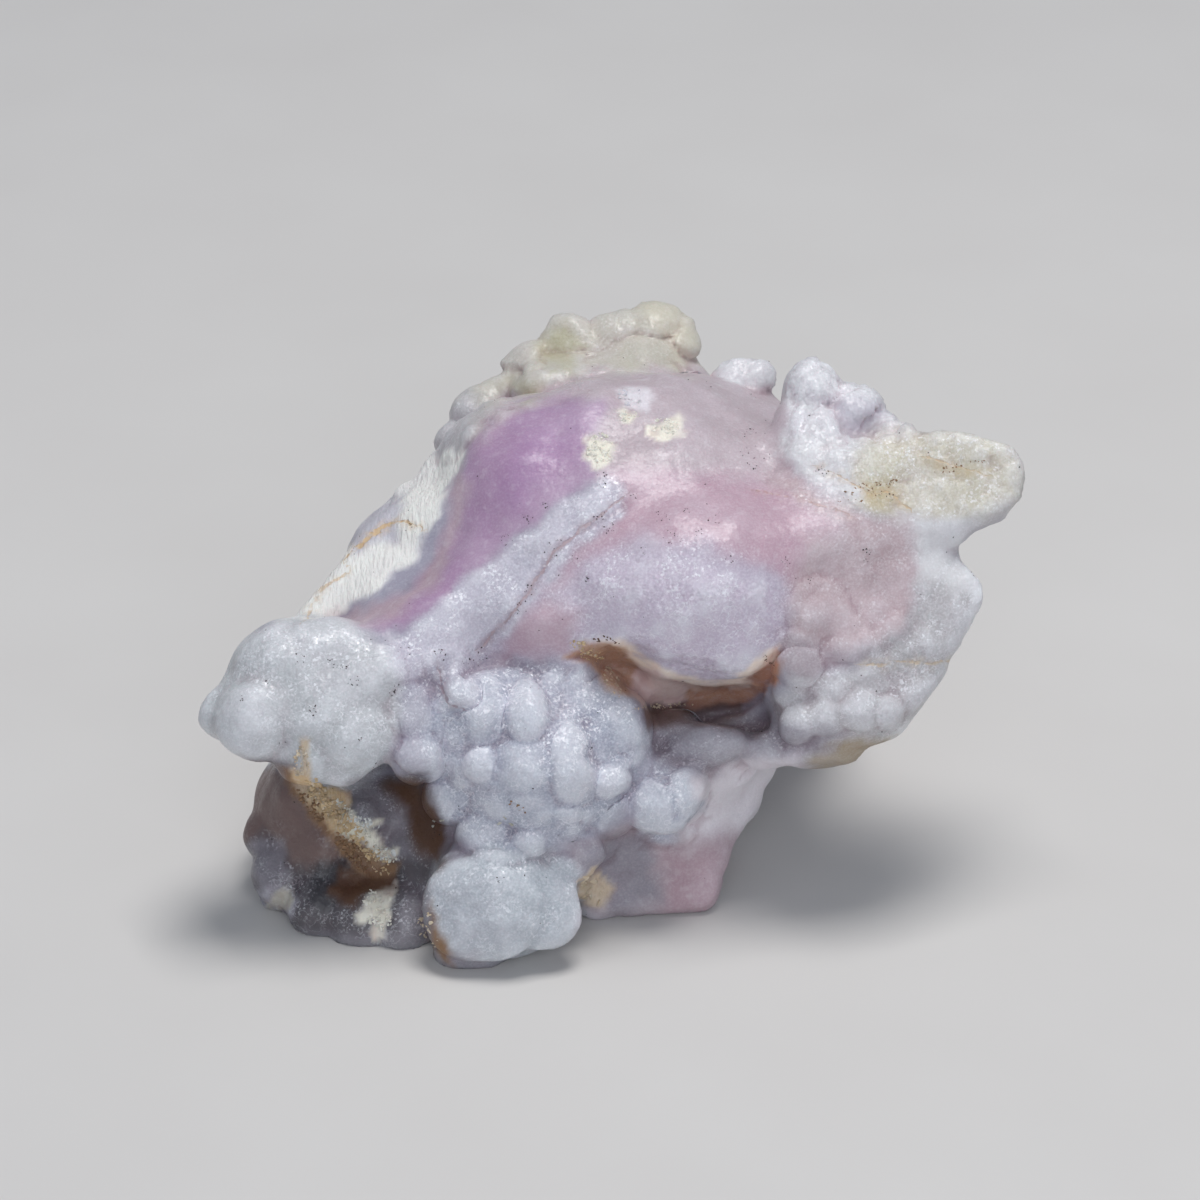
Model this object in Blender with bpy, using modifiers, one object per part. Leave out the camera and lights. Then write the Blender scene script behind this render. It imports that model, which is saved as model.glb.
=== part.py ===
"""Pink opal: a hand-sized botryoidal specimen, one natural stone resting on its own feet.

The stone is laid out in its display face, a plane that leans back from the vertical.
A place in that face is (across, up, out) in millimetres: across to the right, up the face,
and out of it towards the viewer. The ground is where these give a height of zero.
"""

import math
import random

import bmesh
import bpy
import numpy as np
from mathutils import Matrix, Vector
from mathutils.bvhtree import BVHTree

# Driving dimensions, in metres and degrees
MM = 0.001
FACE_LEAN = 60.0
BODY_VOXEL = 0.9 * MM
SKIN_VOXEL = 0.5 * MM
BODY_SMOOTHING = 5
LOBE_SMOOTHING = 2
SKIN_SMOOTHING = 1
TARGET_TRIANGLES = 9400
FLAT_HEIGHT = 0.12 * MM
OPAL_COLOUR = (0.72, 0.62, 0.68, 1.0)
OPAL_ROUGHNESS = 0.4

# A lump is (across, up, out, radius) or (across, up, out, half width, half height, half depth, roll).
CORE = [
    (3.0, 24.5, 0.0, 17.0, 14.6, 15.0, 0),
    (9.4, 32.8, -3.6, 8.4, 6.6, 8.0, -6),
    (0.0, 17.0, 0.0, 16.0, 12.0, 9.4, 0),
    (-1.0, 9.0, -3.0, 13.0, 10.0, 11.0, 0),
    (-9.0, 23.0, -11.5, 12.0, 10.5, 11.0, 0),
    (9.0, 24.0, -11.0, 11.5, 11.0, 11.0, 0),
    (0.0, 16.0, -13.0, 12.0, 9.0, 9.0, 0),
    (0.0, 34.2, -10.5, 10.8, 7.0, 8.0, 0),
    (3.4, 38.8, -10.0, 4.2, 4.8, 5.6, 0),
    (-3.4, 38.0, -10.0, 4.6, 4.4, 5.6, 20),
    (-14.6, 21.8, 4.4, 5.6, 5.0, 6.4, 0),
    (-5.5, 29.7, 0.5, 7.6, 8.6, 12.0, 0),
    (-12.0, 26.4, 3.4, 4.4, 4.6, 5.8, 0),
    (-1.0, 31.0, 1.0, 8.0, 7.4, 11.6, 0),
]
LEFT_BULB = [
    (-22.4, 17.2, 11.0, 5.6, 4.0, 4.8, -8),
    (-21.0, 13.6, 11.6, 5.4, 4.2, 4.8, 0),
    (-18.0, 16.6, 11.2, 5.0, 4.4, 4.8, 0),
    (-26.0, 14.6, 11.0, 3.6),
]
DOME = [
    (7.4, 24.0, 9.0, 11.0, 7.4, 8.6, 2),
    (-3.8, 22.4, 8.4, 6.4, 4.4, 6.2, 40),
    (13.0, 23.0, 8.6, 5.6, 5.6, 6.6, 0),
]
CLUSTER = [
    (-5.0, 10.5, 7.2, 7.7, 6.8, 7.0, 0),
    (-10.6, 14.6, 7.6, 5.4, 4.4, 5.4, 0),
    (5.6, 10.8, 4.4, 7.0, 4.0, 5.0, 0),
]
FRONT_FOOT = [
    (-7.6, 0.6, 7.4, 5.2, 4.6, 5.2, 0),
    (-5.0, 4.4, 7.4, 4.2),
]
GREY_CORNER = [
    (-18.2, 3.0, -0.6, 8.0, 7.4, 8.0, 0),
    (-22.2, 6.6, 0.6, 4.6, 5.2, 5.4, 0),
    (-12.6, 4.0, 1.0, 5.6, 6.4, 6.0, 0),
]
WING = [
    (18.8, 18.8, 8.0, 7.4, 6.8, 5.4, -10),
    (16.8, 26.0, 7.6, 8.4, 6.8, 6.6, 0),
    (18.6, 13.8, 8.6, 6.0, 3.0, 4.0, 8),
]
HORN = [
    (20.0, 31.6, 7.6, 5.0, 4.4, 4.6, 0),
    (23.6, 27.8, 8.6, 4.0, 3.4, 3.8, 30),
]
ICY_CREST = [
    (17.4, 35.4, 5.4, 3.8, 3.4, 3.6, 0),
    (15.6, 33.6, 6.0, 3.4),
]

# A knob is a small sphere or ellipsoid grown on the masses, and is written as a lump is.
BULB_KNOBS = [
    (-25.8, 13.6, 13.4, 3.2),
    (-28.0, 14.2, 11.2, 2.3),
    (-24.4, 17.8, 12.0, 3.4, 2.5, 2.8, 20),
    (-20.2, 18.2, 12.6, 4.4, 2.9, 3.0, -6),
    (-18.6, 12.6, 12.8, 3.7, 3.4, 3.4, 0),
    (-22.0, 11.2, 12.8, 2.7),
    (-16.6, 17.2, 12.6, 3.0),
    (-19.6, 10.6, 12.2, 2.6, 2.2, 2.6, 0),
    (-14.2, 13.2, 12.0, 1.7, 2.4, 2.0, 0),
    (-14.0, 10.3, 11.8, 1.9),
    (-12.2, 12.6, 10.8, 2.0),
    (-11.4, 15.8, 12.6, 1.6, 2.2, 1.6, -20),
]
CLUSTER_KNOBS = [
    (4.9, 7.4, 7.4, 2.6, 2.4, 2.8, 0),
    (3.8, 9.6, 7.8, 2.2),
]
SHELF_KNOBS = [
    (8.8, 11.4, 7.4, 3.1, 1.7, 2.8, 0),
    (12.6, 11.0, 7.6, 2.0, 1.5, 2.0, 0),
    (5.8, 12.6, 7.4, 2.2, 1.6, 2.0, 0),
    (16.8, 10.8, 8.2, 3.2, 1.2, 2.8, 4),
]
WING_KNOBS = [
    (15.0, 17.8, 11.9, 1.9),
    (17.0, 21.0, 10.0, 2.8, 2.2, 2.2, 30),
    (19.6, 16.0, 9.8, 3.4, 2.2, 2.2, 14),
    (23.0, 17.6, 10.4, 3.6, 2.2, 2.0, 20),
]
REAR_CREST_KNOBS = [
    (-10.8, 34.4, -7.0, 1.9),
    (-9.2, 36.8, -7.6, 2.2),
    (-7.0, 38.6, -8.0, 1.9),
    (-5.2, 41.0, -8.8, 2.1),
    (-2.2, 42.4, -9.0, 2.3),
    (0.6, 42.4, -9.0, 2.2),
    (3.2, 43.1, -9.0, 2.2),
    (5.0, 43.7, -9.2, 2.0),
    (6.4, 42.0, -8.8, 1.8),
    (7.0, 39.8, -8.6, 1.4),
    (-4.6, 39.4, -5.4, 2.6, 1.8, 2.0, 30),
    (0.0, 40.4, -5.0, 2.6, 1.6, 2.0, 0),
    (3.8, 40.8, -5.4, 2.4, 1.6, 2.0, 0),
    (10.6, 40.2, -4.8, 1.6),
    (12.4, 40.0, -4.6, 1.4),
]
ICY_KNOBS = [
    (16.4, 38.0, 6.0, 2.6),
    (15.2, 35.4, 6.8, 2.2, 2.8, 2.2, 0),
    (16.2, 32.8, 8.4, 2.4, 2.0, 2.4, -30),
]
FOOT_KNOBS = [
    (-10.0, -4.2, 8.2, 3.0, 1.9, 2.2, 0),
    (-7.0, -0.7, 8.4, 5.3, 4.1, 4.2, 0),
    (-3.4, 3.0, 7.8, 3.2, 2.6, 3.0, 0),
    (-25.2, 4.2, 0.8, 2.4),
    (-24.4, 1.0, 2.0, 2.7),
    (-21.6, -1.2, 4.0, 2.7),
    (-18.2, -2.1, 4.9, 2.8),
    (-14.8, -1.9, 5.3, 2.8),
    (-12.2, -1.2, 5.8, 2.3),
]

# A lobe grows nearly flush on the skin: (across, up, half width, half height, roll, rise).
CLUSTER_LOBES = [
    (-9.2, 13.5, 2.9, 2.6, 0, 1.2),
    (-5.9, 16.0, 1.6, 1.3, 0, 0.5),
    (-3.6, 16.0, 1.2, 1.1, 0, 0.4),
    (0.3, 13.7, 3.1, 2.7, -10, 1.2),
    (2.1, 11.2, 1.5, 2.1, 0, 0.8),
    (-5.3, 13.2, 1.4, 2.2, 4, 1.5),
    (-5.4, 9.8, 1.9, 1.9, 0, 0.8),
    (-2.5, 10.0, 1.3, 2.0, 0, 0.8),
    (0.5, 9.0, 1.6, 1.3, 0, 1.1),
    (-8.9, 9.9, 1.6, 1.2, 0, 1.1),
    (-11.3, 7.8, 1.7, 1.8, 0, 1.2),
    (-12.0, 10.2, 1.3, 1.4, 0, 0.8),
    (-8.3, 5.2, 2.0, 2.0, 0, 0.8),
    (-5.2, 4.7, 1.3, 1.1, 0, 0.8),
    (-4.2, 6.8, 1.3, 1.1, 0, 0.7),
    (-2.2, 6.2, 1.0, 1.2, 0, 1.0),
    (0.6, 6.4, 1.9, 1.4, 0, 1.2),
    (-7.2, 7.5, 1.3, 1.1, 0, 0.5),
    (3.9, 6.2, 1.3, 1.2, 0, 0.6),
    (6.0, 7.6, 1.4, 1.5, 20, 0.5),
    (4.8, 9.9, 1.4, 0.9, 0, 0.4),
    (8.0, 11.8, 2.1, 1.1, 0, 0.7),
    (-13.6, 14.1, 1.2, 2.0, 0, 0.6),
    (-14.1, 11.0, 1.3, 1.2, 0, 1.0),
    (-10.6, 15.6, 1.1, 1.0, 0, 0.9),
]
WING_LOBES = [
    (15.5, 20.9, 1.9, 1.7, 0, 0.8),
    (18.0, 20.8, 1.3, 1.4, 0, 0.6),
    (18.3, 18.8, 1.5, 1.3, 0, 0.6),
    (20.2, 19.1, 1.0, 1.2, 0, 0.6),
    (19.9, 21.6, 1.5, 1.2, 0, 0.5),
    (21.8, 20.2, 1.3, 1.1, 0, 0.6),
    (19.4, 17.3, 1.7, 0.9, 15, 0.5),
    (14.3, 15.3, 0.9, 1.0, 0, 0.9),
    (14.9, 13.6, 1.2, 1.3, 0, 1.2),
    (16.9, 13.9, 1.4, 1.4, 0, 1.0),
    (17.6, 16.0, 1.1, 1.0, 0, 0.6),
    (19.5, 14.1, 1.3, 1.6, 0, 1.0),
    (21.4, 14.2, 1.2, 1.4, 0, 0.9),
    (23.4, 15.4, 1.5, 1.0, 30, 0.5),
    (23.6, 18.9, 2.4, 0.9, 8, 0.4),
]
FOOT_LOBES = [
    (-9.0, -0.9, 3.2, 2.8, 0, 0.6),
    (-3.8, -0.9, 1.9, 2.2, 0, 0.5),
    (-10.6, 2.0, 1.2, 1.1, 0, 0.6),
    (-6.3, 2.2, 1.5, 1.0, 0, 0.5),
    (-2.8, 3.3, 2.0, 1.4, 0, 0.6),
    (-1.6, 4.8, 1.4, 1.0, 0, 0.5),
]
LOBE_SHARE = 0.4
LOBE_SPREAD = 1.5

# A roll is a rounded ridge along a path of (across, up, out, radius) points.
RIDGE_PATH = [
    (-17.0, 17.4, 11.0, 3.6),
    (-12.8, 19.9, 10.8, 3.5),
    (-9.6, 22.6, 10.0, 3.4),
    (-6.6, 25.6, 10.2, 3.3),
    (-3.4, 28.2, 10.6, 3.2),
    (0.0, 29.6, 10.9, 3.0),
    (1.0, 30.2, 10.7, 2.8),
]
RIND_PATH = [
    (-22.4, 20.8, 7.0, 1.4),
    (-20.4, 22.4, 6.6, 1.9),
    (-17.4, 25.8, 5.0, 2.0),
    (-14.4, 29.4, 3.0, 1.9),
    (-12.0, 31.8, 1.2, 1.5),
]
RIND_CREST_PATH = [
    (-18.8, 26.4, 2.0, 1.0),
    (-16.0, 28.8, 1.0, 1.3),
    (-13.2, 31.8, -0.4, 1.1),
]
LIP_PATH = [
    (2.6, 20.4, 11.6, 1.5),
    (5.0, 19.2, 12.3, 1.7),
    (8.0, 18.3, 12.9, 1.8),
    (10.8, 18.4, 12.9, 1.8),
    (13.2, 20.4, 12.2, 1.6),
]
ROLL_STEP = 0.25

# Angular pieces, as the corners of their convex hulls
RIGHT_BASE_CORNERS = [
    (-2.0, -2.8, 4.8),
    (8.0, -2.2, 3.8),
    (9.6, 2.0, 0.8),
    (10.8, 5.0, 0.6),
    (14.8, 10.4, 0.2),
    (10.0, 11.4, 5.4),
    (2.0, 10.0, 7.0),
    (-2.0, 4.0, 6.0),
    (2.0, 4.0, -10.0),
    (12.0, 12.0, -8.0),
]
LUMP_CORNERS = [
    (2.9, 9.4, 9.6),
    (5.4, 10.4, 9.2),
    (8.3, 9.2, 8.6),
    (7.9, 7.0, 8.8),
    (5.6, 4.8, 9.0),
    (3.2, 5.0, 9.2),
    (2.4, 7.4, 9.6),
    (4.0, 7.2, 11.0),
    (6.2, 8.2, 10.8),
    (4.0, 9.0, 5.0),
    (6.0, 6.4, 5.0),
]
RIND_CORNERS = [
    (-22.0, 20.0, 5.0),
    (-18.8, 20.4, 7.2),
    (-18.0, 26.4, 0.6),
    (-13.6, 31.4, -0.8),
    (-11.4, 32.4, -0.6),
    (-10.6, 31.6, 1.4),
    (-13.0, 28.4, 3.8),
    (-16.2, 23.2, 6.2),
    (-15.0, 20.0, -12.0),
    (-10.0, 28.0, -12.0),
    (-15.0, 12.0, -4.0),
]
HORN_CORNERS = [
    (17.0, 34.6, 8.0),
    (23.0, 35.6, 10.4),
    (28.4, 35.6, 11.6),
    (31.6, 34.8, 11.8),
    (32.9, 32.4, 12.0),
    (32.6, 29.8, 12.0),
    (29.8, 27.5, 12.2),
    (25.4, 27.6, 12.4),
    (18.0, 28.0, 11.6),
    (23.0, 34.8, 5.6),
    (31.8, 33.0, 7.4),
    (31.0, 29.6, 7.6),
    (24.0, 28.0, 6.0),
    (17.0, 30.0, 4.0),
]
ICY_CORNERS = [
    (15.6, 36.4, 8.2),
    (17.6, 39.4, 6.4),
    (19.6, 38.4, 6.0),
    (21.4, 37.0, 6.2),
    (22.6, 35.0, 7.4),
    (20.0, 34.6, 9.6),
    (16.6, 34.4, 9.6),
    (18.0, 38.0, 2.4),
    (22.0, 35.4, 3.4),
]
WING_CORNERS = [
    (26.0, 25.8, 11.4),
    (30.3, 25.3, 11.0),
    (30.5, 23.2, 11.0),
    (28.6, 20.6, 11.4),
    (26.8, 17.0, 11.6),
    (24.2, 13.8, 11.8),
    (20.6, 12.2, 11.4),
    (14.6, 12.0, 10.4),
    (16.0, 22.0, 12.2),
    (22.0, 24.6, 12.4),
    (26.4, 24.4, 8.0),
    (25.2, 17.0, 8.0),
    (20.0, 12.6, 6.0),
    (14.0, 18.0, 2.0),
]
ANGULAR_PIECES = [RIGHT_BASE_CORNERS, LUMP_CORNERS, RIND_CORNERS, HORN_CORNERS, ICY_CORNERS, WING_CORNERS]

# A patch of seeded knobs: (across, up, half width, half height, roll, how many, least radius, most
# radius, sink), the sink being how much of its radius a knob goes in.
KNOB_PATCHES = [
    (22.6, 21.0, 5.0, 4.0, -10, 10, 1.2, 2.0, 0.9),
    (-18.0, 2.8, 8.0, 6.0, 0, 16, 1.6, 2.7, 0.84),
    (-1.0, 41.6, 8.4, 2.8, 6, 34, 0.9, 1.8, 0.72),
    (-9.6, 36.6, 2.2, 3.6, -40, 12, 0.9, 1.6, 0.74),
    (25.4, 31.6, 7.2, 3.6, 0, 16, 1.2, 2.4, 0.92),
    (17.6, 36.0, 4.0, 3.6, -10, 18, 0.6, 1.2, 0.75),
    (9.0, 10.8, 6.0, 2.2, 4, 12, 0.8, 1.5, 0.8),
]
PATCH_SPACING = 1.15
PATCH_TRIES = 12
PATCH_SEED = 11
VIEWER_OUT = 60.0

# A chip flattens what stands past a plane: (across, up, out), the way it faces, and its reach.
CHIPS = [
    ((12.4, 8.4, 3.6), (0.75, -0.25, 0.6), 3.4),
    ((6.6, 2.4, 4.6), (0.2, -0.2, 0.96), 4.0),
    ((19.4, 36.4, 7.8), (0.35, 0.5, 0.79), 2.2),
    ((17.4, 35.6, 9.2), (-0.2, 0.5, 0.84), 2.0),
    ((21.4, 35.2, 8.2), (0.1, 0.75, 0.65), 2.0),
]
# A hollow presses the surface in: (across, up, least out, half width, half height, roll, depth).
BODY_HOLLOWS = [
    (6.4, 14.6, 2.0, 8.6, 3.6, -4, 5.0),
    (1.4, 17.0, 2.0, 3.6, 2.4, 30, 3.6),
    (-17.6, 2.6, 0.0, 4.4, 3.0, 20, 2.4),
]
HOLLOW_EASE = 1.5
SKIN_HOLLOWS = [
    (-15.0, 6.0, 0.0, 3.2, 3.2, 0, 1.0),
    (3.4, 1.2, 0.0, 4.0, 2.6, 30, 0.6),
]
# A crack is cut along a path of (across, up) points, with its half width and depth.
CRACK_PATH = [
    (1.9, 29.6),
    (0.0, 28.5),
    (-1.9, 27.4),
    (-3.4, 26.2),
    (-4.5, 24.6),
    (-5.6, 22.9),
    (-7.1, 20.9),
    (-9.0, 18.8),
]
CRACK_WIDTH = 0.6
CRACK_DEPTH = 0.5
CRACK_FACING = 0.2

# Knobs on the sides that the display face doesn't show: how many, least radius, most radius, how much
# of its radius one goes in, and how far a surface must be turned from the viewer to carry them.
WILD_LOBES = (90, 3.6, 6.4, 0.6, 0.35)
WILD_KNOBS = (420, 1.3, 2.9, 0.6, 0.0)
WILD_FADE = 0.5
WILD_MIDDLE = (0.0, 19.0, -3.0)
WILD_REACH = 100.0 * MM
WILD_SEED = 7
THIN_SHARE = 0.36

# The display face stands on this point of the ground, which puts the origin under the stone's middle.
FACE_FOOT = (-0.9, -11.7, 0.0)
FACE = Matrix.Translation(Vector(FACE_FOOT) * MM) @ Matrix.Rotation(math.radians(FACE_LEAN), 4, "X")


def clear_scene():
    for obj in list(bpy.data.objects):
        bpy.data.objects.remove(obj)


def unit_sphere():
    """The corners and facets of a sphere one millimetre in radius."""
    bm = bmesh.new()
    bmesh.ops.create_icosphere(bm, subdivisions=3, radius=MM)
    corners = np.array([v.co for v in bm.verts])
    facets = np.array([[v.index for v in f.verts] for f in bm.faces])
    bm.free()
    return corners, facets


SPHERE_CORNERS, SPHERE_FACETS = unit_sphere()


def lump_place(lump):
    """Where a sphere or rolled ellipsoid of the display face goes."""
    across, up, out, *size = lump
    half = (size[0],) * 3 if len(size) == 1 else size[:3]
    roll = size[3] if len(size) > 3 else 0
    return (
        FACE
        @ Matrix.Translation(Vector((across, up, out)) * MM)
        @ Matrix.Rotation(math.radians(roll), 4, "Z")
        @ Matrix.Diagonal((*half, 1.0))
    )


def knob_place(centre, radius):
    return Matrix.Translation(centre) @ Matrix.Scale(radius / MM, 4)


def spheres_mesh(name, places):
    """One mesh of a sphere at each place."""
    count = len(SPHERE_CORNERS)
    corners = [SPHERE_CORNERS @ np.array(m.to_3x3()).T + np.array(m.to_translation()) for m in places]
    facets = [SPHERE_FACETS + count * i for i in range(len(places))]
    mesh = bpy.data.meshes.new(name)
    mesh.from_pydata(np.vstack(corners), [], np.vstack(facets))
    return mesh


def roll_lumps(path):
    """A rounded ridge, as spheres set close together along the path."""
    lumps = [path[-1]]
    for start, end in zip(path, path[1:]):
        steps = math.ceil(math.dist(start[:3], end[:3]) / (ROLL_STEP * start[3]))
        lumps += [tuple(a + (b - a) * i / steps for a, b in zip(start, end)) for i in range(steps)]
    return lumps


def add_chunk(bm, corners):
    """One angular piece, the convex hull of its corners."""
    made = [bm.verts.new(FACE @ (Vector(c) * MM)) for c in corners]
    hull = bmesh.ops.convex_hull(bm, input=made)
    loose = {v for v in hull["geom_interior"] + hull["geom_unused"] if isinstance(v, bmesh.types.BMVert)}
    bmesh.ops.delete(bm, geom=list(loose), context="VERTS")
    bmesh.ops.recalc_face_normals(bm, faces=bm.faces[:])


def evaluated_mesh(obj):
    """The object's mesh with its modifiers applied."""
    graph = bpy.context.evaluated_depsgraph_get()
    return bpy.data.meshes.new_from_object(obj.evaluated_get(graph))


def fused(obj, voxel, smoothing):
    """Melts the overlapping bodies of obj into one skin, then softens its creases."""
    remesh = obj.modifiers.new("fuse", "REMESH")
    remesh.mode = "VOXEL"
    remesh.voxel_size = voxel
    smooth = obj.modifiers.new("soften", "SMOOTH")
    smooth.factor = 0.5
    smooth.iterations = smoothing
    mesh = evaluated_mesh(obj)
    obj.modifiers.clear()
    obj.data = mesh
    keep_largest_shell(mesh)


def keep_largest_shell(mesh):
    """Drops the small sealed voids that are left between overlapping spheres."""
    bm = bmesh.new()
    bm.from_mesh(mesh)
    unseen = set(bm.verts)
    shells = []
    while unseen:
        front = [unseen.pop()]
        shell = list(front)
        while front:
            vert = front.pop()
            near = [e.other_vert(vert) for e in vert.link_edges]
            fresh = [v for v in near if v in unseen]
            unseen.difference_update(fresh)
            front.extend(fresh)
            shell.extend(fresh)
        shells.append(shell)
    shells.sort(key=len)
    for shell in shells[:-1]:
        bmesh.ops.delete(bm, geom=shell, context="VERTS")
    bm.to_mesh(mesh)
    bm.free()


def joined(body, places):
    """Adds a sphere at each place to the body's mesh."""
    bm = bmesh.new()
    bm.from_mesh(body.data)
    bm.from_mesh(spheres_mesh("knobs", places))
    bm.to_mesh(body.data)
    bm.free()


def surface_tree(body):
    bm = bmesh.new()
    bm.from_mesh(body.data)
    tree = BVHTree.FromBMesh(bm)
    bm.free()
    return tree


def build_body(name):
    """The stone's soft and angular masses, melted together."""
    lumps = CORE + LEFT_BULB + DOME + CLUSTER + FRONT_FOOT + GREY_CORNER + WING + HORN + ICY_CREST
    for path in (RIDGE_PATH, RIND_PATH, RIND_CREST_PATH, LIP_PATH):
        lumps = lumps + roll_lumps(path)
    body = bpy.data.objects.new(name, spheres_mesh(name, [lump_place(lump) for lump in lumps]))
    bpy.context.scene.collection.objects.link(body)
    bm = bmesh.new()
    bm.from_mesh(body.data)
    for corners in ANGULAR_PIECES:
        add_chunk(bm, corners)
    bm.to_mesh(body.data)
    bm.free()
    fused(body, BODY_VOXEL, BODY_SMOOTHING)
    joined(body, wild_knobs(body, WILD_LOBES))
    fused(body, BODY_VOXEL, LOBE_SMOOTHING)
    carve(body.data, BODY_HOLLOWS, [], [])
    return body


def wild_knobs(body, layer):
    """Knobs on the back and sides, found by looking in at the body from all round."""
    count, least, most, layer_sink, turned = layer
    tree = surface_tree(body)
    rng = random.Random(WILD_SEED)
    middle = FACE @ (Vector(WILD_MIDDLE) * MM)
    away_from_viewer = FACE.to_3x3() @ Vector((0, 0, -1))
    golden = math.pi * (3 - math.sqrt(5))
    places = []
    for i in range(count):
        height = 1 - 2 * (i + 0.5) / count
        ring = math.sqrt(1 - height * height)
        ray = Vector((ring * math.cos(golden * i), ring * math.sin(golden * i), height))
        radius = rng.uniform(least, most) * MM
        hit, normal, _, _ = tree.ray_cast(middle + ray * WILD_REACH, -ray)
        if hit is None or normal.dot(away_from_viewer) < turned:
            continue
        thickness = tree.ray_cast(hit - normal * SKIN_VOXEL, -normal)[3]
        radius = min(radius, THIN_SHARE * thickness)
        grown = min(1, (normal.dot(away_from_viewer) - turned) / WILD_FADE)
        sink = 1 - (1 - layer_sink) * grown
        places.append(knob_place(hit - normal * radius * sink, radius))
    return places


def lobe_place(tree, lobe):
    """Where a lobe goes: an ellipsoid sunk in the skin until only its rise stands clear."""
    across, up, half_width, half_height, roll, rise = lobe
    outward = FACE.to_3x3() @ Vector((0, 0, 1))
    hit, normal, _, _ = tree.ray_cast(FACE @ (Vector((across, up, VIEWER_OUT)) * MM), -outward)
    facing = (normal + outward).normalized()
    depth = rise / LOBE_SHARE
    return (
        Matrix.Translation(hit + facing * (rise - depth) * MM)
        @ outward.rotation_difference(facing).to_matrix().to_4x4()
        @ FACE.to_3x3().to_4x4()
        @ Matrix.Rotation(math.radians(roll), 4, "Z")
        @ Matrix.Diagonal((half_width * LOBE_SPREAD, half_height * LOBE_SPREAD, depth, 1.0))
    )


def patch_knobs(tree, patch, rng):
    """Knobs strewn over one rolled ellipse of the display face, none crowding another."""
    across, up, half_width, half_height, roll, count, least, most, sink = patch
    turn = Matrix.Rotation(math.radians(roll), 2)
    looking_in = FACE.to_3x3() @ Vector((0, 0, -1))
    knobs = []
    for _ in range(count * PATCH_TRIES):
        if len(knobs) == count:
            break
        angle, share = rng.uniform(0, math.tau), math.sqrt(rng.random())
        spot = turn @ Vector((half_width * share * math.cos(angle), half_height * share * math.sin(angle)))
        radius = rng.uniform(least, most) * MM
        start = FACE @ (Vector((across + spot.x, up + spot.y, VIEWER_OUT)) * MM)
        hit, normal, _, _ = tree.ray_cast(start, looking_in)
        if hit is None:
            continue
        centre = hit - normal * radius * sink
        if all((centre - other).length > PATCH_SPACING * max(radius, size) for other, size in knobs):
            knobs.append((centre, radius))
    return [knob_place(*knob) for knob in knobs]


def grow_knobs(body):
    """The body with its knobs and lobes, wild, placed and strewn, melted into one skin."""
    wild = wild_knobs(body, WILD_KNOBS)
    placed = BULB_KNOBS + CLUSTER_KNOBS + SHELF_KNOBS + WING_KNOBS
    placed = placed + REAR_CREST_KNOBS + ICY_KNOBS + FOOT_KNOBS
    joined(body, [lump_place(knob) for knob in placed])
    tree = surface_tree(body)
    rng = random.Random(PATCH_SEED)
    lobes = [lobe_place(tree, lobe) for lobe in CLUSTER_LOBES + WING_LOBES + FOOT_LOBES]
    strewn = []
    for patch in KNOB_PATCHES:
        strewn += patch_knobs(tree, patch, rng)
    joined(body, wild + lobes + strewn)
    fused(body, SKIN_VOXEL, SKIN_SMOOTHING)


def flatten_feet(mesh, within):
    """Presses what reaches the ground, or nearly does, flat onto it."""
    points = np.empty(len(mesh.vertices) * 3)
    mesh.vertices.foreach_get("co", points)
    points = points.reshape(-1, 3)
    points[points[:, 2] < within, 2] = 0.0
    mesh.vertices.foreach_set("co", points.ravel())
    mesh.update()


def mesh_array(mesh, kind):
    """The vertices' places or normals, as rows in the display face's directions."""
    values = np.empty(len(mesh.vertices) * 3)
    mesh.vertices.foreach_get(kind, values)
    return values.reshape(-1, 3) @ np.array(FACE.to_3x3())


def press_hollow(points, normals, hollow):
    """Pushes the part of the surface that faces the viewer back inside a rolled ellipse."""
    across, up, least_out, half_width, half_height, roll, depth = hollow
    angle = math.radians(roll)
    x, y = points[:, 0] - across, points[:, 1] - up
    along = (x * math.cos(angle) + y * math.sin(angle)) / half_width
    over = (y * math.cos(angle) - x * math.sin(angle)) / half_height
    inside = np.clip(1 - along**2 - over**2, 0, None) ** HOLLOW_EASE
    inside[(points[:, 2] < least_out) | (normals[:, 2] < 0)] = 0
    points[:, 2] -= depth * inside


def cut_crack(points, normals, path, half_width, depth):
    """Cuts a narrow groove along a path, square to the surface."""
    nearest = np.full(len(points), np.inf)
    for start, end in zip(path, path[1:]):
        start, step = np.array(start), np.array(end) - np.array(start)
        share = np.clip((points[:, :2] - start) @ step / (step @ step), 0, 1)
        gap = np.linalg.norm(points[:, :2] - start - share[:, None] * step, axis=1)
        nearest = np.minimum(nearest, gap)
    cut = depth * np.clip(1 - nearest / half_width, 0, None)
    cut[normals[:, 2] < CRACK_FACING] = 0
    points -= normals * cut[:, None]


def strike_chip(points, chip):
    """Flattens what stands past a plane, near one place."""
    centre, facing, reach = chip
    facing = np.array(facing) / np.linalg.norm(facing)
    offset = points - np.array(centre)
    past = offset @ facing
    struck = (past > 0) & (np.linalg.norm(offset, axis=1) < reach)
    points[struck] -= past[struck, None] * facing


def carve(mesh, hollows, crack_path, chips):
    """Hollows, a crack and broken faces, worked into a finished skin."""
    foot = np.array(FACE.to_translation()) @ np.array(FACE.to_3x3())
    points = (mesh_array(mesh, "co") - foot) / MM
    normals = mesh_array(mesh, "normal")
    for hollow in hollows:
        press_hollow(points, normals, hollow)
    cut_crack(points, normals, crack_path, CRACK_WIDTH, CRACK_DEPTH)
    for chip in chips:
        strike_chip(points, chip)
    carved = (points * MM + foot) @ np.array(FACE.to_3x3()).T
    mesh.vertices.foreach_set("co", carved.ravel())
    mesh.update()


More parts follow.
